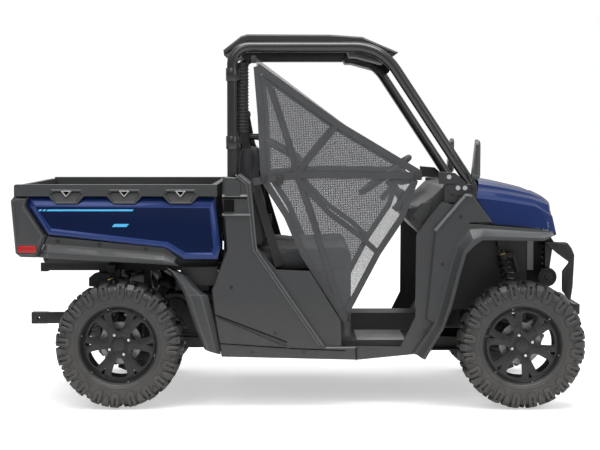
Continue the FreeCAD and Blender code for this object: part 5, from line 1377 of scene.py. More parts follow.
def make_frame():
    """The welded frame, ended behind the rear axle, with the receiver's tube on it."""
    def cut(shape, place, way):
        bm = shape.bm
        bmesh.ops.bisect_plane(bm, geom=bm.verts[:] + bm.edges[:] + bm.faces[:], plane_co=place, plane_no=way,
                               clear_outer=True, dist=0.01)
        bmesh.ops.holes_fill(bm, edges=[e for e in bm.edges if len(e.link_faces) == 1], sides=0)
        bmesh.ops.recalc_face_normals(bm, faces=bm.faces[:])

    shape = plain_copy("chassis_frame")
    cut(shape, (-1100, 0, 0), (-1, 0, 0))
    rails = plain_copy("chassis_frame")
    cut(rails, (-1100, 0, 0), (1, 0, 0))
    cut(rails, (0, 0, 684), (0, 0, -1))
    absorb(shape, rails.mesh("rails"))
    shape.box((-1108, -256, 262), (-1098, 256, 330), 3, 1)
    shape.box((-1108, -256, 330), (-1098, -200, 700), 3, 1)
    shape.box((-1108, 200, 330), (-1098, 256, 700), 3, 1)
    shape.box((-1112, -70, 320), (-1098, 70, 440), 3, 1)
    for low in (-300, 252):
        shape.prism([(-1160, 604), (-1160, 652), (-1130, 676), (-1108, 682), (-1050, 682), (-1050, 604)],
                    "xz", low, low + 48, 4, 1)
    shape.box((-1452, -31, 369), (-1100, 31, 431), 4, 2)
    piece("frame_skin", shape.mesh("frame"), "chassis", "frame", ["chassis_frame"])


def make_nose():
    """Front fascia, bumper, lamps, grille and radiator."""
    skin("fascia_skin", "front_fascia", "chassis", ["trim"], 5, 1, 22.0)
    skin("bumper_skin", "front_bumper", "chassis", ["frame"], 5, 2, 22.0)
    behind = Shape()
    behind.box((1237, -352, 700), (1273, -346, 884), 2, 1)
    behind.mirror()
    piece("nose_posts", behind, "chassis", "grey")
    horns = Shape()
    horns.lathe([(0, 0), (0, 50), (-22, 52), (-30, 48), (-30, 40), (-24, 36), (-24, 16), (-30, 12), (-30, 0)],
                (1338, -404, 668), (0, 1, 0), 40)
    horns.mirror()
    piece("horns", horns, "chassis", "frame")
    lamps = Shape()
    lamps.prism([(1306, 908), (1330, 912), (1334, 950), (1326, 998), (1306, 998)], "xz", -508, -292, 4, 2)
    lamps.slot = 1
    for y in (-450, -350):
        lamps.lathe([(0, 0), (2, 30), (14, 38), (16, 34), (5, 14), (4, 0)], (1322, y, 955), (1, 0, 0), 28)
    lamps.mirror()
    piece("head_lamp_lenses", lamps, "chassis", ["lens", "reflector"], ["head_lamps"])
    fins = Shape()
    fins.box((1280, -200, 0), (1286, 200, 2.2), 0.5, 1)
    mesh = run_tree(fins.mesh("fin"), "row", "fins", Count=34, Offset=(0.0, 0.0, 0.0062), Finish="steel")
    grid = Shape()
    absorb(grid, mesh, 0, Matrix.Translation((0, 0, 604)))
    piece("radiator_fins", grid, "chassis", "steel")


def make_roof():
    """The hard roof, its lining and the console under its front edge."""
    skin("roof_skin", "roof_panel", "chassis", ["trim"], 6, 2, 14.0)
    lining = Shape()
    lining.box((-330, -560, 1876), (380, 560, 1886), 4)
    lining.prism([(245, 1886), (480, 1846), (505, 1812), (480, 1770), (430, 1800), (360, 1848), (250, 1864)],
                 "xz", -300, 300, 5)
    lining.slot = 1
    console = [(250, 1884), (300, 1884), (436, 1830), (440, 1812), (300, 1850), (262, 1850)]
    for low, high in ((-585, -330), (330, 585)):
        lining.prism(console, "xz", low, high, 6)
    piece("roof_lining", lining, "chassis", ["lining", "trim"])


def make_dashboard():
    """Dashboard with its gauges, vents, glove box, and the cowl pockets."""
    def details(shape):
        shape.slot = 1
        for low, high in ((-609, -604), (604, 609)):
            shape.prism([(590, 1010), (640, 1075), (700, 1090), (690, 1020), (640, 960)], "xz", low, high, 2,
                        1)

    skin("dashboard_skin", "dashboard", "chassis", ["trim", "panel"], 7, 2, 22.0, details)
    cluster = Shape()
    cluster.prism([(586, 1140), (560, 1165), (600, 1222), (640, 1218), (690, 1160)], "xz", 300, 460, 8, 2)
    cluster.slot = 1
    tilt = Matrix.Translation((580, 380, 1187)) @ Matrix.Rotation(math.radians(-34), 4, "Y")
    dial = Shape()
    dial.lathe([(2, 0), (2, 52), (0, 55), (-5, 56), (-9, 60), (-11, 58)], (0, 0, 0), (-1, 0, 0), 40)
    dial.move(tilt)
    absorb(cluster, dial.mesh("dial"), 1)
    cluster.slot = 0
    for y in (-480, -330, -60, 120):
        cluster.box((574, y - 55, 1088), (584, y + 55, 1128), 5, 2)
    cluster.slot = 1
    for y in (-480, -330, -60, 120):
        for k in range(4):
            cluster.box((571, y - 48, 1093 + 9 * k), (576, y + 48, 1097 + 9 * k), 1, 1)
    piece("instrument_cluster", cluster, "chassis", ["trim", "frame"])


# The steering wheel's plane above level
STEERING_TILT = math.radians(36.4)


def make_steering_wheel():
    """The rim, spokes and pad of the steering wheel."""
    centre = Vector((500, 380, 1199))
    axis = Vector((-math.sin(STEERING_TILT), 0, math.cos(STEERING_TILT)))
    wheel = Shape()
    turned = axis.to_track_quat("Z", "X").to_matrix().to_4x4()
    section = [(14.5 * math.cos(a), 16.5 * math.sin(a)) for a in (2 * math.pi * k / 14 for k in range(14))]
    profile = [(b, 176 + a) for a, b in section]
    wheel.lathe(profile, (0, 0, 0), (0, 0, 1), 72, closed=True)
    for angle in (90, 210, 330):
        a = math.radians(angle)
        way = Vector((math.cos(a), math.sin(a), 0))
        wheel.slot = 1
        wheel.strap([way * 40 + Vector((0, 0, -10)), way * 90 + Vector((0, 0, -12)), way * 168], 36, 9,
                    (-math.sin(a), math.cos(a), 0))
    wheel.slot = 1
    wheel.lathe([(-26, 0), (-26, 40), (-12, 56), (4, 54), (10, 44), (12, 0)], (0, 0, 0), (0, 0, 1), 40)
    wheel.move(Matrix.Translation(centre) @ turned)
    piece("steering_wheel_skin", wheel, "steering_wheel", ["vinyl", "trim"],
          ["steering_wheel"])


def make_mirrors():
    """The door mirrors with their glass."""
    def lean(shape):
        for vert in shape.bm.verts:
            rise = max(0.0, vert.co.z - 1204)
            vert.co.x += rise * 0.105 * (936 - vert.co.x) / 44

    skin("mirror_shells", "mirrors", "chassis", ["panel"], 5, 2, 24.0, lean)
    glass = Shape()
    outline = [(-704, 1222), (-776, 1226), (-778, 1392), (-770, 1403), (-708, 1403), (-702, 1394)]
    glass.prism(outline, "yz", 890.2, 891.6, 0.4, 1)
    lean(glass)
    glass.mirror()
    piece("mirror_glasses", glass, "chassis", "glass")


NODE_FINISH = {
    "skid_plate": "trim", "hitch_receiver": "frame", "suspension_arms": "frame",
    "front_knuckle_right": "iron", "front_knuckle_left": "iron", "rear_knuckles": "iron",
    "driveline": "cast", "tie_rods": "steel",
    "rack_housing": "cast", "steering_column": "frame", "cab_floor": "trim", "seat_box": "panel",
    "radiator": "frame"}


def paint_nodes():
    """Give every CAD node that stays in sight its own finish."""
    for name, key in NODE_FINISH.items():
        for slot_here in nodes[name].material_slots:
            slot_here.material = FINISH[key]


# Seats, belts and nets

def swell(thing, crown):
    """Blow a pad up with a short cloth simulation, each point moving no further than the crown."""
    before = [v.co.copy() for v in thing.data.vertices]
    settings = thing.modifiers.new("cloth", "CLOTH").settings
    settings.use_pressure = True
    settings.uniform_pressure_force = 4.0
    settings.effector_weights.gravity = 0.0
    settings.quality = 4
    settings.tension_stiffness = 8
    settings.bending_stiffness = 1.0
    settings.vertex_group_mass = "seams"
    scene = bpy.context.scene
    last = 20
    for number in range(1, last + 1):
        scene.frame_set(number)
    bake_modifiers(thing)
    scene.frame_set(1)
    for vert, old in zip(thing.data.vertices, before):
        moved = vert.co - old
        if moved.length > crown:
            vert.co = old + moved.normalized() * crown


def pad(name, shape, crown, held, node):
    """A stuffed vinyl pad from a plain shape: remeshed, held at its seams, blown up and smoothed."""
    thing = add_object(name, shape.mesh(name))
    remesh = thing.modifiers.new("remesh", "REMESH")
    remesh.mode = "VOXEL"
    remesh.voxel_size = 0.0105
    bake_modifiers(thing)
    group = thing.vertex_groups.new(name="seams")
    for vert in thing.data.vertices:
        if held(vert.co / MM):
            group.add([vert.index], 1.0, "REPLACE")
    swell(thing, crown)
    thing.vertex_groups.clear()
    smooth = thing.modifiers.new("smooth", "SMOOTH")
    smooth.factor = 0.5
    smooth.iterations = 2
    bake_modifiers(thing)
    subdivide = thing.modifiers.new("subdivide", "SUBSURF")
    subdivide.levels = subdivide.render_levels = 1
    bake_modifiers(thing)
    for polygon in thing.data.polygons:
        polygon.use_smooth = True
    thing.data.materials.append(FINISH["vinyl"])
    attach(thing, "chassis")
    if node:
        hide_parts(node)


BACK_PROFILE = [(-327, 842), (-200, 842), (-180, 900), (-232, 1120), (-248, 1195), (-244, 1350), (-262, 1372),
                (-300, 1372), (-318, 1350), (-330, 1120), (-332, 870)]


CUSHION_PROFILE = [(-326, 722), (256, 722), (270, 742), (270, 816), (244, 842), (60, 838), (-170, 822),
                   (-326, 806)]
CUSHION_SEAMS = (-60, 60, 160)
BACK_SEAMS = (980, 1130, 1215)


def near_any(value, places, reach):
    return any(abs(value - place) < reach for place in places)


def make_seats(cabin):
    """Cushions and backs of the driver's seat and the bench, with their seams and stitches."""
    crown = cabin.crown * 0.8
    for name, low, high, parts in (("bench", -590, 146, 2), ("driver", 174, 590, 1)):
        seams = [low + (high - low) * k / parts for k in range(1, parts)]

        def cushion_held(co, seams=seams):
            near = near_any(co.y, seams, 8) or near_any(co.x, CUSHION_SEAMS, 7)
            return co.z < 726 or (co.z > 800 and near)

        def back_held(co, seams=seams):
            near = near_any(co.y, seams, 8) or near_any(co.z, BACK_SEAMS, 7)
            return co.x < -318 or (co.x > -300 and near)

        bench = name == "bench"
        cushion = Shape()
        cushion.prism(CUSHION_PROFILE, "xz", low + 8, high - 8, 14, 3)
        pad("seat_cushion_" + name, cushion, crown, cushion_held, "seat_cushion" if bench else None)
        back = Shape()
        back.prism(BACK_PROFILE, "xz", low + 8, high - 8, 12, 3)
        pad("seat_back_" + name, back, crown, back_held, "seat_back" if bench else None)
    # Stitching beside the seams, repeated in rows
    stitches = Shape()
    stitch = cabin.stitch / MM
    for x in CUSHION_SEAMS:
        for low, high in ((-575, 130), (190, 575)):
            one = Shape()
            one.box((x - 9, low, 0), (x - 7.6, low + stitch * 0.6, 1.2), 0.3, 1)
            absorb(stitches, run_tree(one.mesh("stitch"), "row", "stitches", Count=int((high - low) / stitch),
                                      Offset=(0.0, stitch * MM, 0.0), Finish="stitch"))
    place_on(stitches, ["seat_cushion_bench", "seat_cushion_driver"])
    piece("seat_stitches", stitches, "chassis", "stitch")


def place_on(shape, names):
    """Drop a shape's parts onto the surface below them, each keeping its own height."""
    targets = [bpy.data.objects[n] for n in names]
    bpy.context.view_layer.update()
    graph = bpy.context.evaluated_depsgraph_get()
    shape.bm.verts.ensure_lookup_table()
    seen = set()
    for vert in shape.bm.verts:
        if vert.index in seen:
            continue
        island, queue = [], [vert]
        seen.add(vert.index)
        while queue:
            here = queue.pop()
            island.append(here)
            for edge in here.link_edges:
                other = edge.other_vert(here)
                if other.index not in seen:
                    seen.add(other.index)
                    queue.append(other)
        middle = sum((v.co for v in island), Vector()) / len(island)
        best = None
        for target in targets:
            above = Vector((middle.x, middle.y, 1100)) * MM
            hit, spot = target.ray_cast(above, Vector((0, 0, -1)), depsgraph=graph)[:2]
            if hit and (best is None or spot.z > best):
                best = spot.z
        drop = (best / MM if best is not None else 820) - min(v.co.z for v in island)
        for v in island:
            v.co.z += drop - 0.4


def make_belts():
    """Three-point belts: retractors on the cage, straps over the seat backs and buckles on the seat box."""
    for name, y, side in (("right", -470, -1), ("middle", -150, -1), ("left", 470, 1)):
        top = 1560 if name != "middle" else 1440
        strap = Shape()
        if name == "middle":
            strap.strap([(-322, y, top), (-272, y, 1400), (-236, y, 1360), (-214, y, 1300), (-206, y, 1150),
                         (-192, y, 1000), (-178, y, 905), (-172, y - 12, 862), (-160, y - 24, 842)], 46, 1.6,
                        (0, 1, 0), 6)
        else:
            # Hung down the outer side of the seat, its face turned outward
            strap.strap([(-322, y, top), (-292, side * 505, 1400), (-262, side * 565, 1280),
                         (-238, side * 594, 1166), (-196, side * 602, 1030), (-150, side * 606, 880),
                         (-111, side * 606, 742)], 46, 1.6, facing=(0.3, side * 0.95, 0))
        belt = piece("belt_" + name, strap, "chassis", "belt")
        reel = Shape()
        reel.box((-345, y - 36, top - 30), (-308, y + 36, top + 62), 9, 3)
        reel.lathe([(-30, 0), (-30, 26), (-26, 30), (26, 30), (30, 26), (30, 0)], (-322, y, top - 6),
                   (0, 1, 0), 28)
        reel.slot = 1
        reel.rod((-322, y - 40, top + 40), (-322, y + 40, top + 40), 5, 12, 1)
        piece("belt_reel_" + name, reel, "chassis", ["trim", "steel"])
        buckle = Shape()
        by = y - side * 180
        buckle.strap([(-222, by, 800), (-196, by, 880), (-180, by, 925)], 26, 8, (0, 1, 0))
        buckle.box((-192, by - 17, 915), (-164, by + 17, 972), 5, 2)
        piece("belt_buckle_" + name, buckle, "chassis", "trim")


NET_LEFT = [(-232, 1836), (-205, 1537), (-189, 1201), (-68, 1012), (21, 807), (236, 440)]
NET_RIGHT = [(-226, 1836), (615, 1206), (535, 1007), (409, 818), (247, 508), (250, 440)]


def along(points, share):
    """The point at a share of the way along a line of points."""
    lengths = [math.dist(a, b) for a, b in zip(points, points[1:])]
    left = share * sum(lengths)
    for (a, b), length in zip(zip(points, points[1:]), lengths):
        if left <= length or (a, b) == (points[-2], points[-1]):
            t = min(1.0, left / length)
            return (a[0] + (b[0] - a[0]) * t, a[1] + (b[1] - a[1]) * t)
        left -= length
    return points[-1]


def photo_spot(px, py, y):
    """The point in the picture as X and Z at a distance from the middle, on the near side."""
    scale = (VIEW_DISTANCE - y) / VIEW_FOCAL
    return (px - VIEW_COLUMN) * scale, VIEW_HEIGHT - (py - VIEW_ROW) * scale


# Each strap: its spots in the picture, its width there and its layer
NET_STRAPS = (
    ([(257, 67), (338, 125), (420, 174)], 8.0, 3),
    ([(257, 67), (261, 116), (264, 180), (287, 216), (304, 255), (345, 319)], 7.5, 4),
    ([(268, 82), (291, 152), (296, 174), (312, 219), (342, 313)], 6.0, 5),
    ([(336, 127), (308, 161), (296, 176)], 5.5, 6),
    ([(253, 182), (296, 175), (357, 175), (420, 176)], 8.0, 7),
    ([(298, 180), (330, 214), (360, 236), (378, 253)], 6.0, 8),
    ([(415, 180), (402, 217), (378, 253), (347, 312)], 7.0, 11),
    ([(415, 182), (404, 198), (394, 210)], 7.0, 13))
# Each buckle: its spot in the picture, its width and its height
NET_BUCKLES = ((254, 60, 26, 40), (280, 180, 34, 46), (347, 330, 30, 70), (418, 177, 40, 34),
               (264, 178, 30, 34))


def net_shape():
    """The near net as a grid between its two edges, with a slight sag."""
    down, across = 44, 26
    grid = []
    for i in range(down + 1):
        t = i / down
        if t <= 0.5:
            a, b = t / 0.5 * 0.43, t / 0.5 * 0.55
        else:
            u = (t - 0.5) / 0.5
            a, b = 0.43 + u * 0.57, 0.55 + u * 0.45
        p, q = along(NET_LEFT, a), along(NET_RIGHT, b)
        row = []
        for k in range(across + 1):
            share = k / across
            x, z = p[0] + (q[0] - p[0]) * share, p[1] + (q[1] - p[1]) * share
            sag = 2.2 * noise.noise(Vector((x * 0.004, z * 0.006, 3.0)))
            sag += noise.noise(Vector((x * 0.02, z * 0.012, 1.0)))
            row.append((x, -(NET_Y + sag), z))
        grid.append(row)
    net = Shape()
    net.add([p for row in grid for p in row], grid_faces(down + 1, across + 1), recalc=False)
    return net


def make_nets():
    """The stretched side nets, their straps and buckles."""
    for label, near in (("right", True), ("left", False)):
        net, bands, clips = net_shape(), Shape(), Shape()
        for spots, wide, layer in NET_STRAPS:
            path = []
            for px, py in spots:
                x, z = photo_spot(px, py, 674)
                path.append((x, -(NET_Y + 1.0 + layer * 0.45), z))
            fine = []
            for a, b in zip(path, path[1:]):
                fine += [tuple(p + (q - p) * k / 6 for p, q in zip(a, b)) for k in range(6)]
            bands.strap(fine + path[-1:], wide * 4.7, 1.5, facing=(0, -1, 0))
        for px, py, wide, high in NET_BUCKLES:
            x, z = photo_spot(px, py, 674)
            clips.box((x - wide / 2, -686, z - high / 2), (x + wide / 2, -676, z + high / 2), 4, 2)
            clips.box((x - wide / 2 - 4, -684, z - 3), (x + wide / 2 + 4, -678, z + 3), 2, 1)
        if not near:
            for shape in (net, bands, clips):
                shape.flip()
        area = sum(f.calc_area() for f in net.bm.faces) * MM * MM
        sheet = piece("side_net_" + label, net.mesh("net"), "chassis", "net",
                      ["side_nets"] if near else [])
        band_piece = piece("net_straps_" + label, bands, "chassis", "webbing")
        piece("net_buckles_" + label, clips, "chassis", "trim")


# Running gear and fittings

def make_dampers():
    """Coil-over dampers in place of the plain ones."""
    shape = Shape()
    for low, high in (((1182, -430, 442.3), (1089, -415, 811.7)),
                      ((-971, -410, 442.3), (-1026, -375, 671.7))):
        low, high = Vector(low), Vector(high)
        length = (high - low).length
        way = (high - low).normalized()
        aside = Vector((way.z, 0, -way.x)).normalized()
        for end in (low, high):
            shape.lathe([(-15, 8), (-15, 17), (-13, 18.5), (13, 18.5), (15, 17), (15, 8)], end, (0, 1, 0), 24,
                        closed=True)
        shape.slot = 1
        shape.rod(low + way * 14, low + way * length * 0.8, 12, 20, 1)
        shape.slot = 0
        shape.lathe([(0, 10), (0, 38), (4, 40), (9, 36), (9, 10)], low + way * 22, way, 32, closed=True)
        start = length * 0.84
        shape.lathe([(start - 12, 10), (start - 12, 36), (start - 4, 39), (start + 2, 30), (start + 8, 27),
                     (length - 22, 27), (length - 16, 22), (length - 14, 8)], low, way, 32, closed=True)
        coil = run_tree(bpy.data.meshes.new("coil"), "coil", "coil", Turns=9.0 if length > 300 else 7.0,
                        Radius=0.0315, Wire=0.0052, Height=(start - 42) * MM, Finish="spring")
        place = Matrix.Translation(low + way * 34) @ way.to_track_quat("Z", "X").to_matrix().to_4x4()
        absorb(shape, coil, 2, place)
        shape.slot = 3
        shape.lathe([(-34, 12), (-34, 24), (-30, 26), (-18, 26), (-14, 20), (-14, 12)], high, way, 24,
                    closed=True)
        # The reservoir beside the damper and its bracket
        shape.slot = 0
        shape.rod(high - way * 30 + aside * 58, high - way * 130 + aside * 58, 17, 24, 4)
        half = Vector((14, 14, 12))
        shape.box(high - way * 34 + aside * 6 - half, high - way * 34 + aside * 50 + half, 4)
    shape.mirror()
    piece("damper_units", shape, "chassis", ["frame", "iron", "spring", "brass"], ["dampers"])


def make_running_gear():
    """Boots on the axles, the silencer with its bands and pipes, and the engine's castings."""
    boots = Shape()
    for x, y in ((FRONT_AXLE, FRONT_WHEEL_Y), (REAR_AXLE, REAR_WHEEL_Y)):
        for low, high in ((y - 200, y - 120), (y - 445, y - 365)):
            if low < 60:
                low, high = 175, 255
            profile = []
            for k in range(9):
                t = k / 8
                profile.append((low + (high - low) * t, (20 if k % 2 else 27) + 12 * math.sin(math.pi * t)))
            boots.lathe([(profile[0][0], 14)] + profile + [(profile[-1][0], 14)], (x, 0, AXLE_Z), (0, -1, 0),
                        28)
    boots.mirror()
    piece("axle_boots", boots, "chassis", "belt")
    can = Shape()
    can.lathe([(-206, 0), (-206, 58), (-200, 70), (-192, 76.5), (-120, 77.5), (-116, 75.5), (116, 75.5),
               (120, 77.5), (192, 76.5), (200, 70), (206, 58), (206, 0)], (-876, 0, 600), (0, 1, 0), 48)
    can.slot = 1
    for low, high in ((-150, -128), (128, 150)):
        can.lathe([(low, 77), (low, 80), (high, 80), (high, 77)], (-876, 0, 600), (0, 1, 0), 48, closed=True)
    can.tube(arc_path([(-876, 190, 560), (-960, 190, 520), (-1060, 190, 500)], 60), 19, 18)
    can.tube(arc_path([(-810, 60, 600), (-760, 60, 600), (-720, 60, 560)], 30), 21, 18)
    piece("silencer_skin", can, "chassis", ["steel", "cast"], ["silencer"])
    engine = Shape()
    engine.box((-752, -186, 326), (-448, 186, 560), 14, 3)
    engine.box((-700, -150, 556), (-500, 150, 632), 12, 3)
    engine.slot = 1
    for k in range(7):
        engine.box((-720, -194, 350 + 26 * k), (-470, -184, 356 + 26 * k), 2, 1)
    engine.lathe([(0, 0), (0, 92), (10, 100), (26, 96), (30, 70), (32, 0)], (-560, -180, 440), (0, -1, 0), 40)
    engine.lathe([(0, 0), (0, 60), (8, 66), (20, 62), (24, 0)], (-690, -180, 470), (0, -1, 0), 32)
    engine.tube(arc_path([(-500, -120, 600), (-440, -120, 640), (-430, -300, 660), (-420, -480, 640)], 60),
                17, 16)
    piece("engine_castings", engine, "chassis", ["cast", "iron"], ["engine_block"])


def make_fittings():
    """Intake duct, floor mat ribs, cowl plates and bolts."""
    duct = Shape()
    profile = [(370 * k / 43, 36 if k % 2 else 30) for k in range(44)]
    duct.lathe([(0, 0)] + profile + [(370, 0)], (-305, -599, 1446), (0, 0, 1), 28)
    piece("intake_duct_skin", duct, "chassis", "belt", ["intake_duct"])
    mat = Shape()
    for low in (-590, 164):
        rib = Shape()
        rib.box((300, low, 345), (560, low + 12, 350), 2, 1)
        absorb(mat, run_tree(rib.mesh("rib"), "row", "ribs", Count=17, Offset=(0.0, 0.026, 0.0),
                             Finish="grey"))
    piece("floor_mat_ribs", mat, "chassis", "grey")
    plate = Shape()
    for spots, low, high, width in (
            (((438, 171.5), (455, 173), (466, 182), (466, 190), (454, 184), (439, 184)), -674, -664, 2),
            (((447, 184), (472, 184), (474, 195), (468, 198), (449, 194)), -672, -640, 3)):
        plate.prism([photo_spot(px, py, 672) for px, py in spots], "xz", low, high, width, 1)
    plate.mirror()
    piece("cowl_plates", plate, "chassis", "trim")
    spots = []
    for px, py in ((419, 177), (449, 177), (458, 188), (465, 188)):
        x, z = photo_spot(px, py, 672)
        spots.append(((x, -674.5, z), (0, -1, 0)))
    bolts("bright_bolts", "chassis", both_sides(spots), "bright", 8.5, 5, 6)
    spots = [((x, -255.5, 290), (0, -1, 0)) for x in (-1040, -830, -640, -300, 60, 400, 700, 980, 1120)]
    bolts("frame_bolts", "chassis", both_sides(spots), "steel", 7, 5, 6)


# Stage

def white_share(g, mirrored):
    """How much of the white a ray sees: all of it straight or through glass, a share of it in gloss."""
    path = g.node("ShaderNodeLightPath")
    straight = g.math("MAXIMUM", path.outputs["Is Camera Ray"], path.outputs["Is Transmission Ray"])
    return g.math("MAXIMUM", straight, g.math("MULTIPLY", path.outputs["Is Glossy Ray"], mirrored))


def make_stage(studio):
    """A white floor and surround, four soft lamps and the camera."""
    scene = bpy.context.scene
    scene.view_settings.view_transform = "Standard"
    world = bpy.data.worlds.new("plain surround")
    scene.world = world
    world.use_nodes = True
    world.node_tree.nodes.clear()
    g = Graph(world.node_tree)
    seen = white_share(g, studio.mirrored)
    way = g.node("ShaderNodeSeparateXYZ", {0: g.node("ShaderNodeTexCoord").outputs["Generated"]})
    sky = g.node("ShaderNodeMapRange", {"Value": way.outputs["Z"], "From Min": -0.05, "From Max": 0.75,
                                        "To Min": studio.ambient * 0.24, "To Max": studio.ambient * 1.8})
    strength = g.node("ShaderNodeMix", {0: seen, 2: sky.outputs[0], 3: 1.0}, data_type="FLOAT").outputs[0]
    ground = g.node("ShaderNodeBackground", {"Color": (1.0, 1.0, 1.0, 1.0), "Strength": strength})
    g.node("ShaderNodeOutputWorld", {"Surface": ground.outputs[0]})
    floor = Shape()
    floor.add([(-40000, -40000, 0), (40000, -40000, 0), (40000, 40000, 0), (-40000, 40000, 0)],
              [[0, 1, 2, 3]], recalc=False)
    ground_piece = add_object("floor", floor.mesh("floor"))
    material = bpy.data.materials.new("white floor")
    material.use_nodes = True
    material.node_tree.nodes.clear()
    g = Graph(material.node_tree)
    seen = white_share(g, studio.mirrored)
    speck = g.node("ShaderNodeTexNoise", {"Vector": g.node("ShaderNodeTexCoord").outputs["Object"],
                                          "Scale": 3.0})
    tone = g.math("MULTIPLY_ADD", speck.outputs[0], 0.02, 0.79)
    diffuse = g.node("ShaderNodeBsdfDiffuse", {"Color": tone})
    glow = g.node("ShaderNodeEmission", {"Strength": g.math("MULTIPLY", seen, 0.5)})
    both = g.node("ShaderNodeAddShader", {0: diffuse.outputs[0], 1: glow.outputs[0]})
    g.node("ShaderNodeOutputMaterial", {"Surface": both.outputs[0]})
    ground_piece.data.materials.append(material)
    lamps = (("overhead", (0.0, -1.6, 6.4), (6.0, 3.4), 500.0), ("key", (-2.4, -5.6, 4.6), (3.4, 2.4), 70.0),
             ("fill", (4.6, -4.4, 3.0), (3.0, 2.4), 45.0), ("back", (0.0, 4.8, 4.6), (5.0, 2.0), 80.0))
    for name, place, size, power in lamps:
        light = bpy.data.lights.new(name, "AREA")
        light.shape = "RECTANGLE"
        light.size, light.size_y = size
        light.energy = power
        lamp = bpy.data.objects.new(name, light)
        scene.collection.objects.link(lamp)
        lamp.location = place
        lamp.rotation_euler = (Vector((0, 0, 0.8)) - Vector(place)).to_track_quat("-Z", "Y").to_euler()
    view = bpy.data.cameras.new("camera")
    view.lens = studio.lens
    view.sensor_width = 36.0
    view.clip_end = 200.0
    camera = bpy.data.objects.new("camera", view)
    scene.collection.objects.link(camera)
    camera.location = (0.0, -studio.distance, studio.height)
    camera.rotation_euler = Euler((math.pi / 2 - studio.tilt, 0.0, 0.0))
    scene.camera = camera


# Operators, each for one piece or group of like pieces

class VEHICLE_OT_finishes(bpy.types.Operator):
    """Make every finish of the vehicle from its colours"""
    bl_idname = "vehicle.finishes"
    bl_label = "Finishes"

    def execute(self, context):
        make_finishes(context.scene.vehicle_colours)
        return {"FINISHED"}


class VEHICLE_OT_tyres(bpy.types.Operator):
    """Make the four lugged tyres"""
    bl_idname = "vehicle.tyres"
    bl_label = "Tyres"

    def execute(self, context):
        make_tyres(context.scene.wheel_sizes)
        return {"FINISHED"}


class VEHICLE_OT_rims(bpy.types.Operator):
    """Make the four spoked rims with their nuts"""
    bl_idname = "vehicle.rims"
    bl_label = "Rims"

    def execute(self, context):
        make_rims(context.scene.wheel_sizes)
        return {"FINISHED"}


class VEHICLE_OT_cage(bpy.types.Operator):
    """Make the tubes of the roll cage"""
    bl_idname = "vehicle.cage"
    bl_label = "Roll cage"

    def execute(self, context):
        make_cage()
        return {"FINISHED"}


class VEHICLE_OT_stage(bpy.types.Operator):
    """Set the floor, the lamps and the camera"""
    bl_idname = "vehicle.stage"
    bl_label = "Stage"

    def execute(self, context):
        make_stage(context.scene.studio_settings)
        return {"FINISHED"}


class VEHICLE_OT_panels(bpy.types.Operator):
    """Dress the side panels and the wheel flares"""
    bl_idname = "vehicle.panels"
    bl_label = "Side panels"

    def execute(self, context):
        make_panels()
        return {"FINISHED"}


class VEHICLE_OT_bed(bpy.types.Operator):
    """Dress the cargo bed and its tailgate"""
    bl_idname = "vehicle.bed"
    bl_label = "Cargo bed"

    def execute(self, context):
        make_bed()
        return {"FINISHED"}


class VEHICLE_OT_hood(bpy.types.Operator):
    """Dress the painted hood"""
    bl_idname = "vehicle.hood"
    bl_label = "Hood"

    def execute(self, context):
        make_hood()
        return {"FINISHED"}


class VEHICLE_OT_frame(bpy.types.Operator):
    """Dress the welded frame"""
    bl_idname = "vehicle.frame"
    bl_label = "Frame"

    def execute(self, context):
        make_frame()
        return {"FINISHED"}


class VEHICLE_OT_nose(bpy.types.Operator):
    """Dress the fascia, bumper, lamps and radiator"""
    bl_idname = "vehicle.nose"
    bl_label = "Nose"

    def execute(self, context):
        make_nose()
        return {"FINISHED"}


class VEHICLE_OT_roof(bpy.types.Operator):
    """Dress the roof and line it"""
    bl_idname = "vehicle.roof"
    bl_label = "Roof"

    def execute(self, context):
        make_roof()
        return {"FINISHED"}


class VEHICLE_OT_dashboard(bpy.types.Operator):
    """Dress the dashboard and its instruments"""
    bl_idname = "vehicle.dashboard"
    bl_label = "Dashboard"

    def execute(self, context):
        make_dashboard()
        return {"FINISHED"}


class VEHICLE_OT_steering(bpy.types.Operator):
    """Make the steering wheel"""
    bl_idname = "vehicle.steering"
    bl_label = "Steering wheel"

    def execute(self, context):
        make_steering_wheel()
        return {"FINISHED"}


class VEHICLE_OT_mirrors(bpy.types.Operator):
    """Dress the mirrors and add their glass"""
    bl_idname = "vehicle.mirrors"
    bl_label = "Mirrors"

    def execute(self, context):
        make_mirrors()
        return {"FINISHED"}


class VEHICLE_OT_seats(bpy.types.Operator):
    """Make the padded seats with their stitches"""
    bl_idname = "vehicle.seats"
    bl_label = "Seats"

    def execute(self, context):
        make_seats(context.scene.cabin_sizes)
        return {"FINISHED"}


class VEHICLE_OT_belts(bpy.types.Operator):
    """Make the seat belts with their reels and buckles"""
    bl_idname = "vehicle.belts"
    bl_label = "Seat belts"

    def execute(self, context):
        make_belts()
        return {"FINISHED"}


class VEHICLE_OT_nets(bpy.types.Operator):
    """Make the side nets and their straps"""
    bl_idname = "vehicle.nets"
    bl_label = "Side nets"

    def execute(self, context):
        make_nets()
        return {"FINISHED"}


class VEHICLE_OT_dampers(bpy.types.Operator):
    """Make the coil-over dampers"""
    bl_idname = "vehicle.dampers"
    bl_label = "Dampers"

    def execute(self, context):
        make_dampers()
        return {"FINISHED"}


class VEHICLE_OT_running_gear(bpy.types.Operator):
    """Dress the axles, the engine and the silencer"""
    bl_idname = "vehicle.running_gear"
    bl_label = "Running gear"

    def execute(self, context):
        make_running_gear()
        return {"FINISHED"}


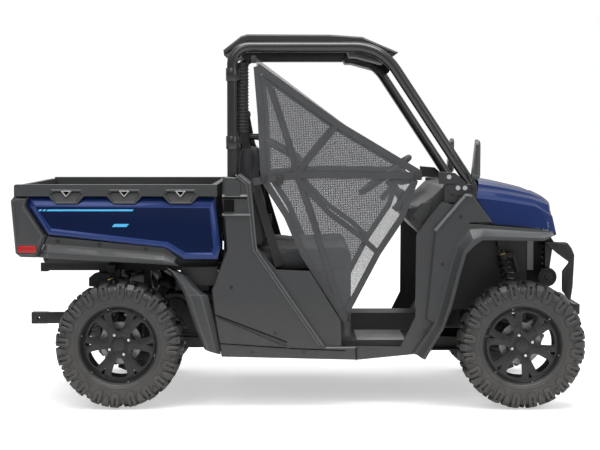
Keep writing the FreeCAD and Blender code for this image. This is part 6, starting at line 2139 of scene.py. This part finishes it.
class VEHICLE_OT_fittings(bpy.types.Operator):
    """Add the duct, mats, plates and bolts, and finish the nodes that stay"""
    bl_idname = "vehicle.fittings"
    bl_label = "Fittings"

    def execute(self, context):
        make_fittings()
        paint_nodes()
        return {"FINISHED"}


class VEHICLE_PT_pieces(bpy.types.Panel):
    """The vehicle's pieces and settings in the sidebar"""
    bl_label = "Side by side"
    bl_idname = "VEHICLE_PT_pieces"
    bl_space_type = "VIEW_3D"
    bl_region_type = "UI"
    bl_category = "Vehicle"

    def draw(self, context):
        layout = self.layout
        for setting in SETTINGS:
            group = getattr(context.scene, setting)
            column = layout.column(align=True)
            for name in group.bl_rna.properties.keys():
                if name not in ("rna_type", "name"):
                    column.prop(group, name)
        for name in STEPS:
            layout.operator("vehicle." + name)


STEPS = ("finishes", "tyres", "rims", "cage", "panels", "bed", "hood", "frame", "nose", "roof", "dashboard",
         "steering", "mirrors", "seats", "belts", "nets", "dampers", "running_gear", "fittings", "stage")


SETTINGS = {"vehicle_colours": VehicleColours, "wheel_sizes": WheelSizes, "cabin_sizes": CabinSizes,
            "studio_settings": StudioSettings}
CLASSES = (
    *SETTINGS.values(), VEHICLE_OT_finishes, VEHICLE_OT_tyres, VEHICLE_OT_rims, VEHICLE_OT_cage,
    VEHICLE_OT_panels, VEHICLE_OT_bed, VEHICLE_OT_hood, VEHICLE_OT_frame, VEHICLE_OT_nose, VEHICLE_OT_roof,
    VEHICLE_OT_dashboard, VEHICLE_OT_steering, VEHICLE_OT_mirrors, VEHICLE_OT_seats, VEHICLE_OT_belts,
    VEHICLE_OT_nets, VEHICLE_OT_dampers, VEHICLE_OT_running_gear, VEHICLE_OT_fittings, VEHICLE_OT_stage,
    VEHICLE_PT_pieces)


def register():
    for cls in CLASSES:
        bpy.utils.register_class(cls)
    for name, group in SETTINGS.items():
        setattr(bpy.types.Scene, name, PointerProperty(type=group))


def unregister():
    for name in SETTINGS:
        delattr(bpy.types.Scene, name)
    for cls in reversed(CLASSES):
        bpy.utils.unregister_class(cls)


def main():
    register()
    for name in STEPS:
        getattr(bpy.ops.vehicle, name)()


if __name__ == "__main__":
    main()
